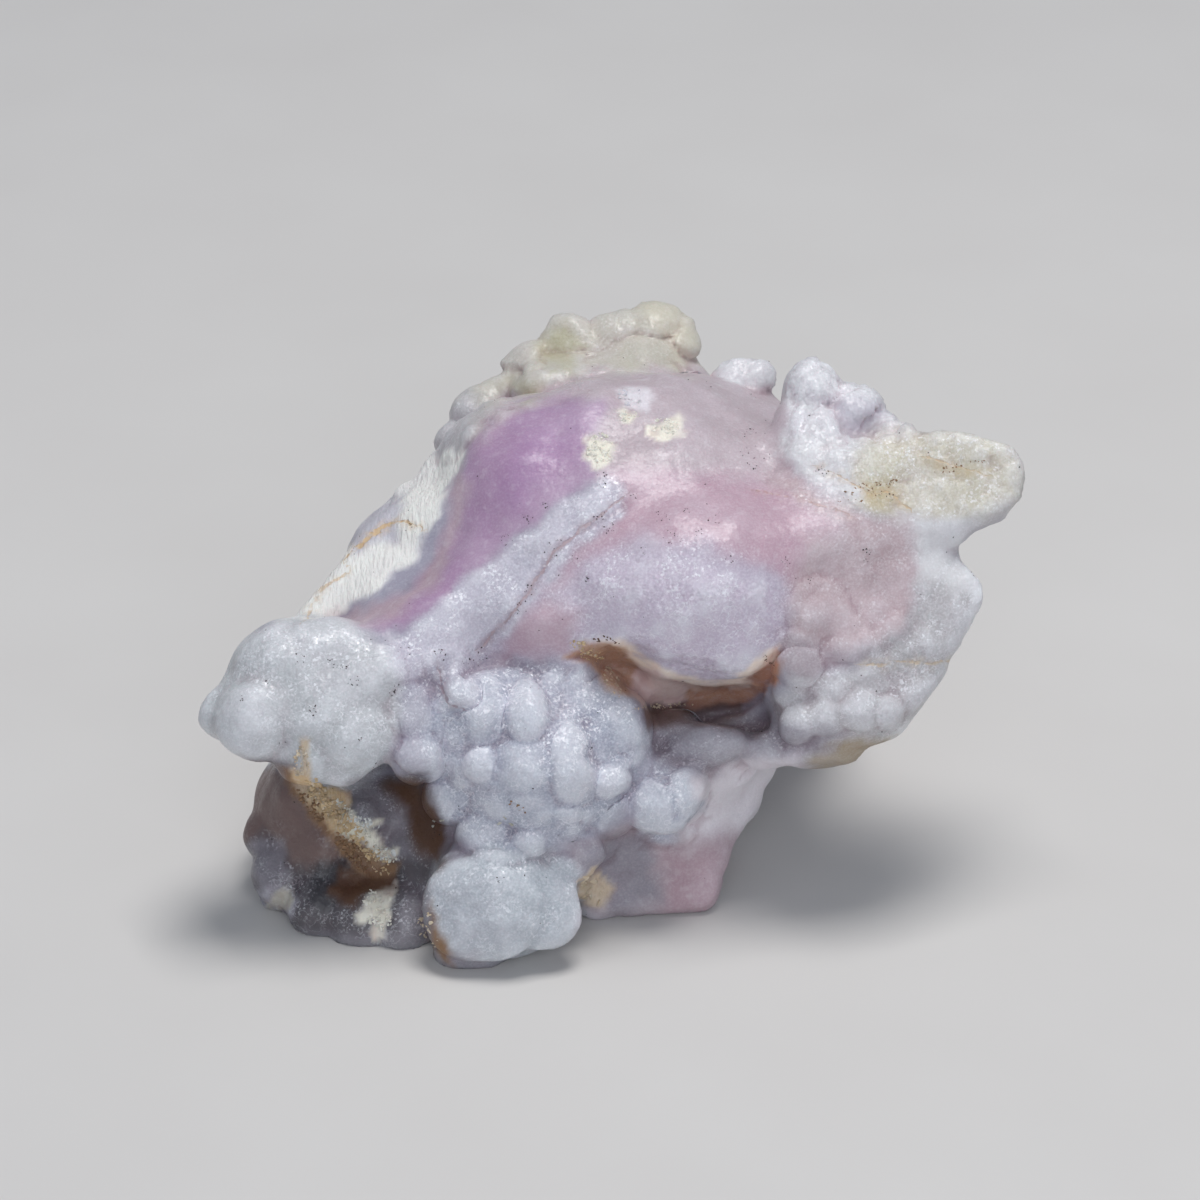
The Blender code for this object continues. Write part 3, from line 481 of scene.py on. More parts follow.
# A region is its colour, how softly it ends, its frost, its crystal, its chalk and its corners.
REGIONS = [
    ("top", 22, 0.2, 0.2, 0.0, [(440, 400), (600, 300), (730, 340), (730, 400), (600, 420), (480, 460)]),
    ("cream", 22, 0.2, 0.2, 0.0, [
        (425, 480), (425, 420), (465, 370), (500, 340), (515, 320), (560, 295), (600, 300), (640, 295),
        (680, 290), (712, 325), (716, 374), (640, 372), (560, 374), (530, 384), (500, 398), (480, 420),
        (458, 462),
    ]),
    ("wing", 26, 0.3, 0.1, 0.0, [(425, 475), (428, 420), (462, 385), (488, 408), (462, 462)]),
    ("horn", 20, 0.1, 0.2, 0.0, [(632, 298), (675, 298), (710, 330), (708, 372), (682, 372), (660, 335)]),
    ("yellow", 20, 0.0, 0.2, 0.0, [(500, 390), (520, 375), (545, 382), (530, 396)]),
    ("ice", 12, 0.2, 0.1, 0.0, [(540, 366), (576, 354), (584, 366), (548, 378)]),
    ("yellow", 22, 0.0, 0.2, 0.0, [(535, 345), (560, 325), (590, 345), (575, 372), (545, 372)]),
    ("top", 26, 0.1, 0.1, 0.0, [
        (590, 380), (700, 368), (795, 375), (800, 440), (790, 490), (720, 484), (640, 480), (598, 474),
        (590, 450), (600, 420),
    ]),
    ("pink", 26, 0.1, 0.0, 0.0, [
        (622, 508), (605, 474), (640, 470), (720, 474), (790, 480), (840, 515), (865, 560), (860, 600),
        (810, 605), (770, 575), (700, 545), (640, 545), (590, 570), (560, 595), (540, 590), (575, 545),
    ]),
    ("dome", 54, 1.0, 0.0, 0.0, [
        (545, 600), (600, 555), (640, 545), (700, 548), (770, 580), (800, 600), (792, 640), (760, 668),
        (735, 686), (700, 690), (660, 675), (620, 645), (580, 650), (520, 660), (490, 650), (510, 622),
    ]),
    ("pink", 30, 0.1, 0.0, 0.0, [(500, 660), (500, 625), (545, 600), (580, 610), (575, 650), (530, 664)]),
    ("peach", 30, 0.3, 0.0, 0.0, [
        (800, 545), (860, 520), (920, 555), (925, 610), (890, 650), (830, 660), (790, 640), (790, 590),
    ]),
    ("wing", 26, 0.7, 0.1, 0.0, [
        (900, 555), (985, 550), (995, 600), (980, 660), (935, 715), (880, 755), (785, 755), (775, 700),
        (800, 675), (860, 660), (905, 630), (915, 600),
    ]),
    # Painted glow: a pale thin band along the wing's edge, for light coming through the thin translucent
    # edge
    ("neck", 10, 0.8, 0.1, 0.0, [
        (950, 556), (992, 562), (1000, 600), (985, 650), (968, 695), (935, 730), (885, 756), (872, 744),
        (918, 716), (948, 682), (962, 640), (970, 600), (960, 578),
    ]),
    ("tawny", 14, 0.3, 0.0, 0.0, [(776, 650), (790, 634), (815, 636), (824, 660), (812, 684), (788, 682)]),
    ("olive", 12, 0.2, 0.2, 0.0, [(780, 748), (850, 742), (895, 734), (880, 760), (800, 775)]),
    ("ice", 8, 0.2, 0.6, 0.0, [(722, 345), (785, 345), (785, 384), (722, 384)]),
    ("ice", 16, 0.5, 1.0, 0.0, [
        (782, 375), (795, 352), (850, 355), (885, 385), (905, 430), (900, 462), (840, 455), (792, 445),
    ]),
    ("facet", 14, 0.0, 0.8, 0.0, [(828, 398), (888, 398), (893, 436), (835, 432)]),
    ("horn", 40, 0.6, 0.5, 0.3, [
        (840, 475), (868, 440), (905, 424), (960, 422), (1008, 428), (1035, 465), (1026, 500), (990, 522),
        (950, 528), (905, 520), (850, 505),
    ]),
    ("stain", 18, 0.2, 0.4, 0.2, [(836, 468), (866, 482), (908, 490), (912, 508), (868, 504), (838, 486)]),
    ("stain", 16, 0.2, 0.4, 0.2, [(926, 456), (960, 462), (988, 472), (955, 476), (926, 464)]),
    # Painted light: the pale neck under the horn, lightened to fill its shade
    ("neck", 22, 0.4, 0.1, 0.0, [(905, 515), (975, 522), (950, 560), (985, 572), (955, 590), (915, 570)]),
    ("peach", 24, 0.3, 0.1, 0.0, [(846, 516), (912, 520), (918, 570), (905, 600), (866, 580), (850, 545)]),
    ("neck", 18, 0.4, 0.4, 0.1, [(786, 436), (850, 446), (862, 500), (830, 496), (796, 474), (780, 455)]),
    ("peach", 20, 0.3, 0.2, 0.1, [(762, 474), (800, 480), (850, 508), (866, 530), (830, 516), (770, 490)]),
    ("magenta", 18, 0.0, 0.0, 0.0, [
        (458, 478), (470, 448), (492, 424), (522, 406), (560, 400), (604, 398), (610, 406), (600, 430),
        (592, 452), (600, 470), (575, 490), (530, 525), (480, 570), (440, 605), (400, 624), (352, 634),
        (395, 600), (432, 570), (446, 530),
    ]),
    ("deep_magenta", 40, 0.0, 0.0, 0.0, [
        (500, 480), (520, 425), (575, 408), (592, 430), (550, 480), (510, 510),
    ]),
    ("mauve", 16, 0.0, 0.0, 0.1, [
        (458, 470), (448, 505), (440, 545), (422, 580), (385, 603), (325, 622), (345, 636), (395, 615),
        (436, 585), (452, 545), (460, 505), (470, 478),
    ]),
    ("ridge", 14, 0.9, 0.0, 0.0, [
        (375, 655), (440, 602), (520, 542), (575, 496), (605, 478), (628, 488), (622, 512), (582, 540),
        (545, 585), (503, 630), (472, 655), (430, 672), (390, 690),
    ]),
    ("chalk", 8, 0.0, 0.1, 1.0, [
        (275, 632), (292, 590), (335, 548), (332, 536), (370, 500), (395, 480), (420, 455), (462, 450),
        (450, 488), (432, 520), (412, 560), (378, 592), (335, 614),
    ]),
    ("facet", 14, 0.0, 0.1, 0.5, [(342, 536), (385, 500), (402, 494), (398, 536), (360, 552)]),
    # The lip: its cream-peach colour, brightened further as painted light where it lies in shade
    ("lip", 9, 0.3, 0.0, 0.0, [
        (600, 636), (620, 637), (650, 664), (700, 680), (735, 678), (770, 647), (782, 650), (745, 688),
        (700, 694), (650, 682), (620, 658),
    ]),
    ("umber", 8, 0.0, 0.1, 0.0, [(645, 700), (690, 704), (750, 700), (742, 722), (690, 732), (645, 726)]),
    ("cavity", 7, 0.0, 0.4, 0.3, [
        (562, 656), (592, 641), (613, 639), (640, 666), (630, 696), (606, 690), (598, 668),
    ]),
    ("russet", 7, 0.0, 0.3, 0.1, [(686, 686), (742, 686), (778, 652), (784, 672), (750, 704), (686, 710)]),
    ("pane", 5, 0.0, 0.3, 0.0, [(634, 666), (660, 674), (692, 686), (684, 706), (642, 706), (628, 692)]),
    ("smoke", 20, 0.4, 0.0, 0.0, [
        (640, 728), (700, 716), (780, 720), (850, 735), (800, 770), (720, 778), (660, 768),
    ]),
    ("bulb", 18, 0.75, 0.0, 0.0, [
        (190, 745), (198, 690), (232, 640), (285, 615), (350, 622), (392, 655), (407, 700), (397, 748),
        (362, 790), (320, 792), (280, 764), (220, 772),
    ]),
    ("lilac", 16, 0.5, 0.0, 0.0, [
        (398, 748), (402, 695), (436, 655), (480, 652), (490, 672), (450, 700), (428, 740), (428, 772),
        (400, 776),
    ]),
    ("base", 18, 0.1, 0.2, 0.0, [
        (570, 850), (640, 820), (690, 780), (740, 765), (800, 758), (775, 805), (745, 850), (720, 930),
        (640, 940), (575, 945),
    ]),
    # Pale translucent tint under the wing, lightened further as painted light where it lies in shade
    ("pale", 30, 0.2, 0.1, 0.0, [(680, 785), (735, 765), (802, 755), (775, 812), (735, 836), (685, 850)]),
    ("base_pink", 34, 0.0, 0.1, 0.0, [(665, 852), (732, 838), (718, 930), (655, 934)]),
    ("smoke", 30, 0.1, 0.1, 0.0, [(600, 856), (650, 846), (662, 900), (610, 915)]),
    ("smoke", 20, 0.1, 0.1, 0.0, [(575, 845), (650, 830), (655, 862), (600, 880), (575, 880)]),
    ("cloud", 16, 0.2, 0.1, 0.0, [(572, 912), (640, 920), (640, 942), (572, 950)]),
    ("blue_lilac", 16, 0.9, 0.0, 0.0, [
        (422, 745), (438, 700), (468, 676), (520, 664), (582, 672), (628, 698), (648, 740), (642, 792),
        (602, 828), (550, 850), (500, 865), (455, 835), (425, 795),
    ]),
    ("blue_lilac", 10, 0.9, 0.0, 0.0, [
        (628, 790), (650, 768), (690, 772), (700, 806), (672, 842), (636, 836),
    ]),
    ("foot", 14, 0.7, 0.1, 0.0, [
        (425, 868), (470, 850), (540, 845), (582, 868), (578, 942), (545, 970), (480, 985), (440, 962),
        (418, 912),
    ]),
    ("smoke", 16, 0.2, 0.1, 0.0, [(436, 952), (520, 966), (505, 992), (440, 985)]),
    ("bister", 10, 0.0, 0.4, 0.2, [(416, 908), (434, 905), (446, 945), (452, 966), (424, 950)]),
    # The grey corner: its own dark grey-lilac, darkened further as painted shade under the overhanging bulb
    ("grey", 18, 0.4, 0.2, 0.0, [
        (228, 775), (280, 762), (320, 795), (360, 788), (425, 770), (432, 860), (422, 930), (402, 958),
        (330, 968), (260, 935), (236, 870),
    ]),
    # Painted shadow: the brown of the shaded ground, laid over the grey corner's left edge
    ("umber", 22, 0.1, 0.1, 0.0, [
        (225, 765), (300, 770), (332, 802), (350, 850), (332, 876), (298, 864), (262, 830), (232, 850),
    ]),
    ("mist", 18, 0.4, 0.2, 0.0, [
        (350, 786), (400, 778), (428, 800), (428, 862), (398, 864), (370, 838), (348, 812),
    ]),
    ("mist", 14, 0.4, 0.2, 0.0, [(250, 836), (284, 840), (290, 880), (262, 886), (246, 870)]),
    # Painted shade: near-black in the hollow under the vein's end
    ("hole_shade", 12, 0.1, 0.1, 0.0, [
        (318, 862), (396, 864), (404, 884), (362, 884), (342, 900), (322, 908), (306, 894),
    ]),
    ("smoke", 12, 0.5, 0.6, 0.0, [(246, 888), (280, 884), (294, 900), (292, 922), (262, 920), (246, 906)]),
    ("mist", 16, 0.4, 0.4, 0.0, [
        (270, 926), (340, 934), (400, 930), (404, 882), (432, 878), (432, 960), (340, 968), (290, 962),
    ]),
    ("sugar", 5, 0.0, 0.8, 0.3, [
        (352, 910), (372, 891), (398, 884), (397, 900), (389, 920), (385, 938), (370, 943), (366, 935),
        (372, 918), (354, 921),
    ]),
    ("cream", 6, 0.0, 0.8, 0.2, [(268, 902), (280, 890), (290, 900), (282, 914)]),
    ("tan", 6, 0.0, 0.6, 0.6, [(298, 742), (309, 742), (308, 772), (299, 772)]),
    ("bister", 8, 0.0, 0.5, 0.5, [
        (282, 772), (300, 780), (340, 800), (366, 846), (398, 866), (392, 884), (356, 872), (330, 836),
        (304, 812), (288, 790),
    ]),
    ("ochre", 6, 0.0, 0.6, 0.6, [
        (288, 770), (306, 772), (316, 786), (346, 788), (346, 802), (352, 818), (336, 828), (312, 806),
        (296, 788),
    ]),
    ("sugar", 5, 0.0, 0.8, 0.6, [
        (336, 808), (354, 815), (376, 840), (394, 848), (392, 860), (376, 854), (356, 838), (340, 826),
    ]),
    ("sugar", 4, 0.0, 0.6, 0.6, [(355, 824), (378, 817), (380, 825), (358, 831)]),
    ("sugar", 7, 0.0, 0.8, 0.4, [(587, 436), (600, 433), (616, 442), (614, 460), (604, 466), (588, 454)]),
    ("sugar", 6, 0.0, 0.8, 0.4, [(620, 410), (640, 410), (632, 424), (622, 422)]),
    ("sugar", 6, 0.0, 0.8, 0.4, [(648, 420), (676, 416), (680, 432), (664, 438), (652, 432)]),
    ("pale", 8, 0.2, 0.4, 0.1, [(615, 388), (648, 385), (650, 405), (622, 406)]),
    ("tan", 8, 0.0, 0.6, 0.4, [(578, 880), (597, 868), (609, 886), (600, 910), (582, 908)]),
    # Painted shade: brown-black in the same hollow under the vein
    ("brown", 10, 0.0, 0.1, 0.0, [(338, 868), (396, 876), (398, 892), (366, 892), (350, 906), (334, 890)]),
    # Painted shade: dark brown in the gap between the grey corner and the cluster
    ("brown", 18, 0.0, 0.1, 0.0, [
        (384, 780), (424, 784), (440, 808), (452, 846), (440, 872), (420, 860), (404, 812), (388, 796),
    ]),
]

# A seam is its colour, its half width in millimetres, how strong it is and its path.
SEAMS = [
    ("peach", 0.09, 0.8, [
        (622, 498), (602, 514), (576, 534), (556, 550), (541, 572), (526, 595), (506, 622), (482, 645),
    ]),
    ("ochre", 0.12, 0.9, [(348, 556), (366, 540), (382, 529), (400, 520), (415, 526)]),
    ("ochre", 0.12, 0.6, [(308, 614), (322, 590), (346, 574)]),
    ("tawny", 0.08, 0.8, [(439, 668), (441, 688), (447, 702), (458, 707)]),
    ("ochre", 0.05, 0.5, [(928, 458), (950, 466), (985, 474)]),
    ("ochre", 0.05, 0.6, [(822, 470), (838, 474), (868, 494), (888, 492), (906, 506)]),
    ("rust", 0.05, 0.3, [(755, 490), (800, 500), (850, 515)]),
    ("tan", 0.08, 0.7, [(866, 664), (880, 666), (895, 661), (930, 664), (957, 660)]),
]
SEAM_REACH = 1.2
SEAM_STAIN = 0.9

# A speck is its place and its radius in pixels.
SPECKS = [
    (603, 480, 4), (527, 517, 3), (507, 541, 3), (545, 508, 2), (552, 548, 5), (600, 515, 3), (608, 527, 3),
    (529, 589, 3), (521, 607, 3), (672, 538, 4), (662, 516, 3), (688, 512, 2), (715, 518, 3), (645, 550, 2),
    (585, 577, 2), (750, 435, 3), (751, 464, 3), (745, 452, 2), (768, 458, 2), (867, 555, 3), (730, 558, 2),
    (785, 563, 3), (478, 656, 4), (435, 835, 3), (300, 660, 3), (332, 664, 3), (345, 667, 2), (352, 680, 3),
    (315, 710, 3), (395, 690, 3), (405, 652, 3), (440, 655, 3), (822, 470, 3), (890, 495, 3), (350, 550, 3),
    (410, 530, 3), (466, 662, 2), (574, 560, 2), (634, 497, 2), (700, 533, 2), (812, 580, 2), (462, 808, 2),
    (590, 746, 2), (378, 770, 3), (268, 684, 2), (282, 744, 2), (358, 738, 2), (240, 700, 2), (500, 880, 2),
]
# Each speck is a cluster of dark grains: how wide it spreads and how many it has, for each pixel
# of its radius, and the least and most radius of a grain in millimetres.
SPECK_SPREAD = 2.4
SPECK_GRAINS = 3
SPECK_GRAIN = (0.05, 0.12)
WILD_SPECKS = 260

# A bed of crumbs is its colour, its middle, half width, half height, roll, how many, and least and
# most radius in millimetres.
CRUMB_BEDS = [
    ("tan", 301, 762, 8, 16, 0, 40, 0.14, 0.34),
    ("ochre", 318, 794, 8, 22, 38, 60, 0.2, 0.5),
    ("bister", 312, 804, 7, 22, 40, 40, 0.14, 0.36),
    ("ochre", 344, 822, 9, 26, 42, 70, 0.2, 0.5),
    ("sugar", 352, 818, 6, 26, 42, 50, 0.12, 0.3),
    ("bister", 352, 850, 8, 26, 42, 60, 0.14, 0.36),
    ("ochre", 374, 858, 9, 22, 42, 50, 0.14, 0.34),
    ("sugar", 384, 852, 5, 16, 52, 30, 0.12, 0.3),
    ("chalk", 364, 824, 17, 6, 0, 26, 0.16, 0.34),
    ("chalk", 386, 854, 8, 7, 0, 12, 0.16, 0.34),
    ("ochre", 588, 652, 20, 7, -25, 50, 0.12, 0.28),
    ("tan", 612, 682, 7, 18, 28, 34, 0.12, 0.26),
    ("tan", 664, 706, 30, 3, 3, 30, 0.1, 0.22),
    ("brown", 608, 640, 16, 3, -8, 14, 0.1, 0.2),
    ("brown", 770, 660, 8, 4, -40, 8, 0.1, 0.2),
    ("bister", 516, 806, 13, 4, -40, 9, 0.1, 0.2),
    ("cream", 440, 824, 8, 6, 0, 5, 0.2, 0.4),
    ("cream", 506, 822, 8, 6, 0, 5, 0.2, 0.4),
    ("tan", 428, 932, 8, 24, 12, 26, 0.12, 0.3),
    ("bister", 958, 467, 28, 4, 14, 26, 0.06, 0.15),
    ("bister", 870, 490, 34, 9, 18, 50, 0.06, 0.16),
    ("sugar", 601, 448, 14, 15, 0, 60, 0.12, 0.34),
    ("sugar", 629, 416, 10, 6, 0, 20, 0.12, 0.3),
    ("sugar", 665, 427, 14, 9, -10, 34, 0.12, 0.32),
    ("pale", 632, 396, 14, 9, 0, 16, 0.15, 0.4),
    ("sugar", 378, 910, 12, 22, 25, 60, 0.14, 0.4),
    ("tan", 592, 888, 11, 18, 0, 16, 0.3, 0.6),
]
CRUMB_CORNERS = 11
CRUMB_FORMS = 12
CRUMB_SINK = 0.35
# How far a crumb's corners lie from its middle, how flat it may be, and how its shade may vary
CRUMB_REACH = (0.8, 1.1)
CRUMB_FLATNESS = (0.6, 1)
CRUMB_SHADES = (0.75, 1.2)
CRUMB_SEED = 23

# Where knobs sink into each other, for each number of rounds of smoothing. An area is (x, y, half
# width, half height, share), in pixels, and the share is how much of the smoothing it takes.
SETTLED = {
    12: [
        (330, 870, 120, 110, 0.25), (600, 340, 190, 60, 1.0), (540, 762, 112, 98, 0.8),
        (668, 805, 46, 44, 0.6), (416, 735, 34, 56, 0.7), (452, 690, 30, 36, 0.85),
        (838, 702, 70, 52, 0.75), (840, 410, 70, 60, 0.5),
    ],
    40: [(560, 350, 62, 22, 1.0), (640, 346, 84, 25, 1.0), (786, 592, 22, 52, 1.0)],
}
# How strong the share is in the middle of an area, before it is held to 1, and how fast it falls
SETTLE_MIDDLE = 1.6
SETTLE_FALL = 1.2

# A puff is a rounded lobe seen in the picture: (x, y, half width, half height, roll, rise). The
# first five numbers are in pixels and degrees, and the rise is in millimetres.
PUFFS = [
    # The knobbly cluster
    (487, 712, 31, 42, 8, 1.0), (527, 712, 21, 38, 0, 0.95), (508, 690, 32, 22, 0, 0.55),
    (554, 702, 22, 32, 0, 0.5), (592, 700, 34, 34, 0, 0.95), (614, 732, 36, 46, 0, 1.15),
    (566, 740, 24, 38, 0, 0.85), (453, 724, 26, 32, 0, 0.65), (482, 764, 21, 19, 0, 0.85),
    (526, 767, 34, 32, 0, 0.7), (574, 778, 24, 32, 0, 0.75), (607, 780, 24, 20, 0, 0.8),
    (451, 796, 25, 27, 0, 1.0), (446, 764, 24, 24, 0, 0.6), (494, 798, 26, 32, 0, 0.55),
    (532, 806, 32, 26, 0, 0.6), (566, 813, 17, 15, 0, 0.75), (605, 812, 31, 21, 0, 0.8),
    (552, 832, 28, 18, 0, 0.5), (482, 834, 26, 22, 0, 0.65), (502, 850, 28, 15, 0, 0.65),
    (528, 840, 19, 16, 0, 0.75), (636, 758, 18, 26, 0, 0.5), (592, 842, 24, 20, 0, 0.5),
    # The ear beside it
    (690, 790, 22, 30, -15, 0.55), (652, 808, 24, 30, 0, 0.65), (666, 832, 30, 16, 8, 0.5),
    # Between the bulb and the cluster
    (412, 714, 22, 30, 0, 0.6), (418, 752, 25, 24, 0, 0.8), (456, 693, 15, 18, 0, 0.6),
    (444, 664, 22, 20, 0, 0.4),
    # The edge of the wing
    (800, 656, 29, 30, 0, 0.95), (818, 612, 34, 34, 0, 0.6), (797, 722, 17, 25, -10, 0.65),
    (826, 716, 24, 21, 0, 0.45), (860, 712, 22, 24, 0, 0.55), (889, 712, 18, 18, 0, 0.45),
    (832, 686, 24, 18, 0, 0.4), (868, 684, 22, 16, 0, 0.3), (795, 694, 20, 18, 0, 0.4),
    (846, 638, 26, 26, 0, 0.4),
    # The crest
    (456, 425, 22, 44, -35, 0.5), (484, 396, 26, 26, 0, 0.45), (520, 352, 26, 20, 0, 0.8),
    (562, 330, 33, 24, 0, 0.7), (592, 334, 22, 18, 0, 0.4), (614, 322, 24, 20, 0, 1.0),
    (657, 317, 27, 22, 0, 0.9), (691, 336, 19, 24, 0, 1.0),
    # The icy crystals
    (812, 386, 28, 30, 0, 0.4), (864, 402, 28, 28, -20, 1.4), (886, 424, 18, 18, 0, 0.7),
    (905, 432, 10, 12, 0, 0.6), (815, 424, 24, 24, 0, 0.4),
]
# How round a puff is, as the power of what is left of it towards its edge
PUFF_POWER = 0.5

# A swell is written as a puff is, but runs out softly.
SWELLS = [(615, 396, 125, 46, 0, 1.3), (700, 388, 70, 30, 0, 0.7)]
SWELL_POWER = 2.0

# A recess is its depth in millimetres, how softly it starts and its corners.
RECESSES = [
    (1.6, 7, [
        (562, 656), (592, 642), (612, 640), (626, 656), (642, 667), (662, 674), (690, 681), (706, 684),
        (730, 683), (742, 680), (760, 662), (778, 642), (786, 668), (764, 700), (745, 716), (700, 728),
        (655, 726), (638, 708), (612, 694), (598, 668),
    ]),
]

# A bend is its pitch and reach in millimetres, and its seed.
BENDS = [(4.0, 0.4, 31), (1.7, 0.12, 37)]
# Crystal faces are their pitch and height in millimetres.
CRYSTAL_FACES = [(2.4, 0.28), (1.2, 0.16)]
CRYSTAL_LEAST = 0.05
CELL_SPREAD = 17.0
NOISE_SEED = 5

# How pale a tint must be, on the average of its three parts, to start and to end looking milky
MILKY_LEAST = 0.12
MILKY_MOST = 0.36

# A wobble of painted edges is its pitch in millimetres, its seed and its reach in pixels.
REGION_WOBBLES = [(2.4, 11, 9), (0.9, 13, 4)]
SEAM_WOBBLE = (1.1, 17, 3)
SEAM_FADE = 1.6

# The clouds of colour on the unseen sides: pitch in millimetres and seed
BROAD_CLOUDS = (11.0, 3)
SMALL_CLOUDS = (4.0, 5)
# Where a cloud of colour starts and how soon it is full, the least and added frost and how soon it is
# full, and the most crystal, where it starts and how soon it is full
WILD_COLOUR = (0.02, 0.35)
WILD_FROST = (0.35, 0.3, 0.4)
WILD_CRYSTAL = (0.5, 0.05, 0.3)

# How softly something comes in where the skin turns to the viewer: the slope of its step on the
# outward part of the normal, and the step where the skin is edge on
LIFT_TURN = (2, 1)
RECESS_TURN = (3, 0.5)
PAINT_TURN = (2, 0.9)

# How many rounds of smoothing tell a knob, and a whole lobe, from its surroundings
KNOB_ROUNDS = 5
LOBE_ROUNDS = 26
# How far out of its surroundings, in millimetres, the top of a knob and of a lobe stands, and where
# a crease starts and how much deeper it is when full
KNOB_TOP = 0.10
LOBE_TOP = 0.5
CREASE_START = 0.03
CREASE_SPAN = 0.08

# The opal's skin. Patches are their pitch in millimetres, and where they start and are full.
# A cloud is the same with its strength and tint.
MILK = (5.0, 0.35, 0.75, 0.18, (0.74, 0.69, 0.75, 1))
DEPTH = (1.7, 0.45, 0.80, 0.22, (0.80, 0.72, 0.78, 1))
VEIL = (0.7, 0.52, 0.72, 0.12, (0.80, 0.78, 0.82, 1))
DUST_PITCH = 0.17
DUST_RANGE = (0.35, 0.75)
DUST_LEAST = 0.08
DUST_ON_FROST = 0.2
FROST_PATCHES = (2.2, 0.38, 0.58)
# Frosted knob and lobe tops are whitened: partly the frost's own pale colour, partly painted highlight on
# the tops
KNOB_RIM = 0.34
LOBE_RIM = 0.14
CREASE_SHADE = 0.5
HOLLOW_SHADE = 0.10
# Painted glints: tiny whitened cells on frosted skin that faces up, standing in for the overhead light
# glinting off crystal faces
PAINTED_GLINT_SHARE = 0.75
PAINTED_GLINT_PITCH = 0.16
PAINTED_GLINT_RANGE = (0.87, 0.92)
UPWARD_FULL = 0.65
LACE_SHARE = 0.5
LACE_PITCH = 0.7
LACE_WIDTH = 0.035

# How ragged a seam is, as its pitch and reach, how soft its edge is, both in millimetres, and the
# patches that break it and its stain
SEAM_RAGGED = (0.4, 0.5)
SEAM_EDGE = 0.06
SEAM_PATCHES = (1.3, 0.34, 0.5)
STAIN_PATCHES = (0.8, 0.4, 0.7)
STAIN_SHARE = 0.5
FROST_TINT = (0.90, 0.90, 0.94, 1)
TOP_FROST_AND_HIGHLIGHT_TINT = (0.84, 0.86, 0.90, 1)
SHADE_TINT = (0.62, 0.52, 0.55, 1)
PAINTED_GLINT_TINT = (0.95, 0.96, 1.0, 1)

# Relief: the pitch and height of each kind, in millimetres
SUGAR_RELIEF = (0.26, 0.12)
CRYSTAL_RELIEF = (0.95, 0.25)
PEBBLE_RELIEF = (1.3, -0.07)
FIBRE_RELIEF = (0.6, 0.30)
ROUGH_RELIEF = (0.45, 0.05)
WAVE_RELIEF = (1.8, 0.08)
SUGAR_LEAST = 0.15
CRYSTAL_SUGAR = 0.10
SEAM_DEPTH = -0.10
FIBRE_TURN = -48
FIBRE_STRETCH = (2.6, 0.5, 1.0)
BUMP_STRENGTH = 0.8

# How light goes into the opal and the crumbs
OPAL_LIGHT = {
    "IOR": 1.45,
    "Subsurface Weight": 0.5,
    "Subsurface Radius": (1.0, 0.62, 0.72),
    "Subsurface Scale": 1.5 * MM,
}
CRUMB_LIGHT = {
    "Subsurface Weight": 0.3,
    "Subsurface Radius": (1.0, 0.7, 0.5),
    "Subsurface Scale": 0.8 * MM,
}
OPAL_DULLNESS = 0.27
CHALK_DULLNESS = 0.4
GRAIN_DULLNESS = 0.16
DULLNESS_PITCH = 0.9
# How much glossier the painted glint cells are
PAINTED_GLINT_GLOSS = 0.2

# The crumbs' own looks
CRUMB_PATCHES = (0.25, 0.5, 0.75)
CRUMB_PATCH_SHARE = 0.5
CRUMB_PATCH_TINT = (0.85, 0.8, 0.72, 1)
CRUMB_DULLNESS = 0.4
CRUMB_DULLNESS_PITCH = 0.2
CRUMB_RELIEF = (0.12, 0.05)

# The stage
FLOOR_WIDTH = 4.0
FLOOR_TONES = ((0.60, 0.585, 0.565, 1), (0.64, 0.63, 0.61, 1))
FLOOR_CLOUD = 0.02
FLOOR_ROUGHNESS = 0.85
SENSOR_WIDTH = 36.0
CLIP_START = 10 * MM
LIGHT_TARGET = (0.0, 0.0, 0.02)

# An area light is its name, place, size, watts and tone.
LIGHTS = [
    ("overhead", (0.05, 0.02, 0.48), 0.18, 1.5, (1.0, 0.98, 0.97)),
    ("front_fill", (0.06, -0.62, 0.26), 0.5, 1.45, (0.92, 0.95, 1.0)),
]
WORLD_TONE = (0.80, 0.87, 1.0, 1.0)
WORLD_STRENGTH = 0.34


def face_point(place):
    """A place of the display face, as a point of the scene in metres."""
    return FACE @ (Vector(place) * MM)


def add_object(name, data):
    obj = bpy.data.objects.new(name, data)
    bpy.context.scene.collection.objects.link(obj)
    return obj


def corners_and_facets(bm):
    """The corners and triangles of a form, which is then freed."""
    bm.verts.index_update()
    corners = np.array([v.co for v in bm.verts])
    facets = np.array([[v.index for v in f.verts] for f in bm.faces])
    bm.free()
    return corners, facets


def unit_sphere():
    """The corners and facets of a sphere one millimetre in radius."""
    bm = bmesh.new()
    bmesh.ops.create_icosphere(bm, subdivisions=3, radius=MM)
    return corners_and_facets(bm)


SPHERE_CORNERS, SPHERE_FACETS = unit_sphere()


def lump_place(lump):
    """Where a sphere or rolled ellipsoid of the display face goes."""
    across, up, out, *size = lump
    half = (size[0],) * 3 if len(size) == 1 else size[:3]
    roll = size[3] if len(size) > 3 else 0
    return (
        FACE
        @ Matrix.Translation(Vector((across, up, out)) * MM)
        @ Matrix.Rotation(math.radians(roll), 4, "Z")
        @ Matrix.Diagonal((*half, 1.0))
    )


def knob_place(centre, radius):
    return Matrix.Translation(centre) @ Matrix.Scale(radius / MM, 4)


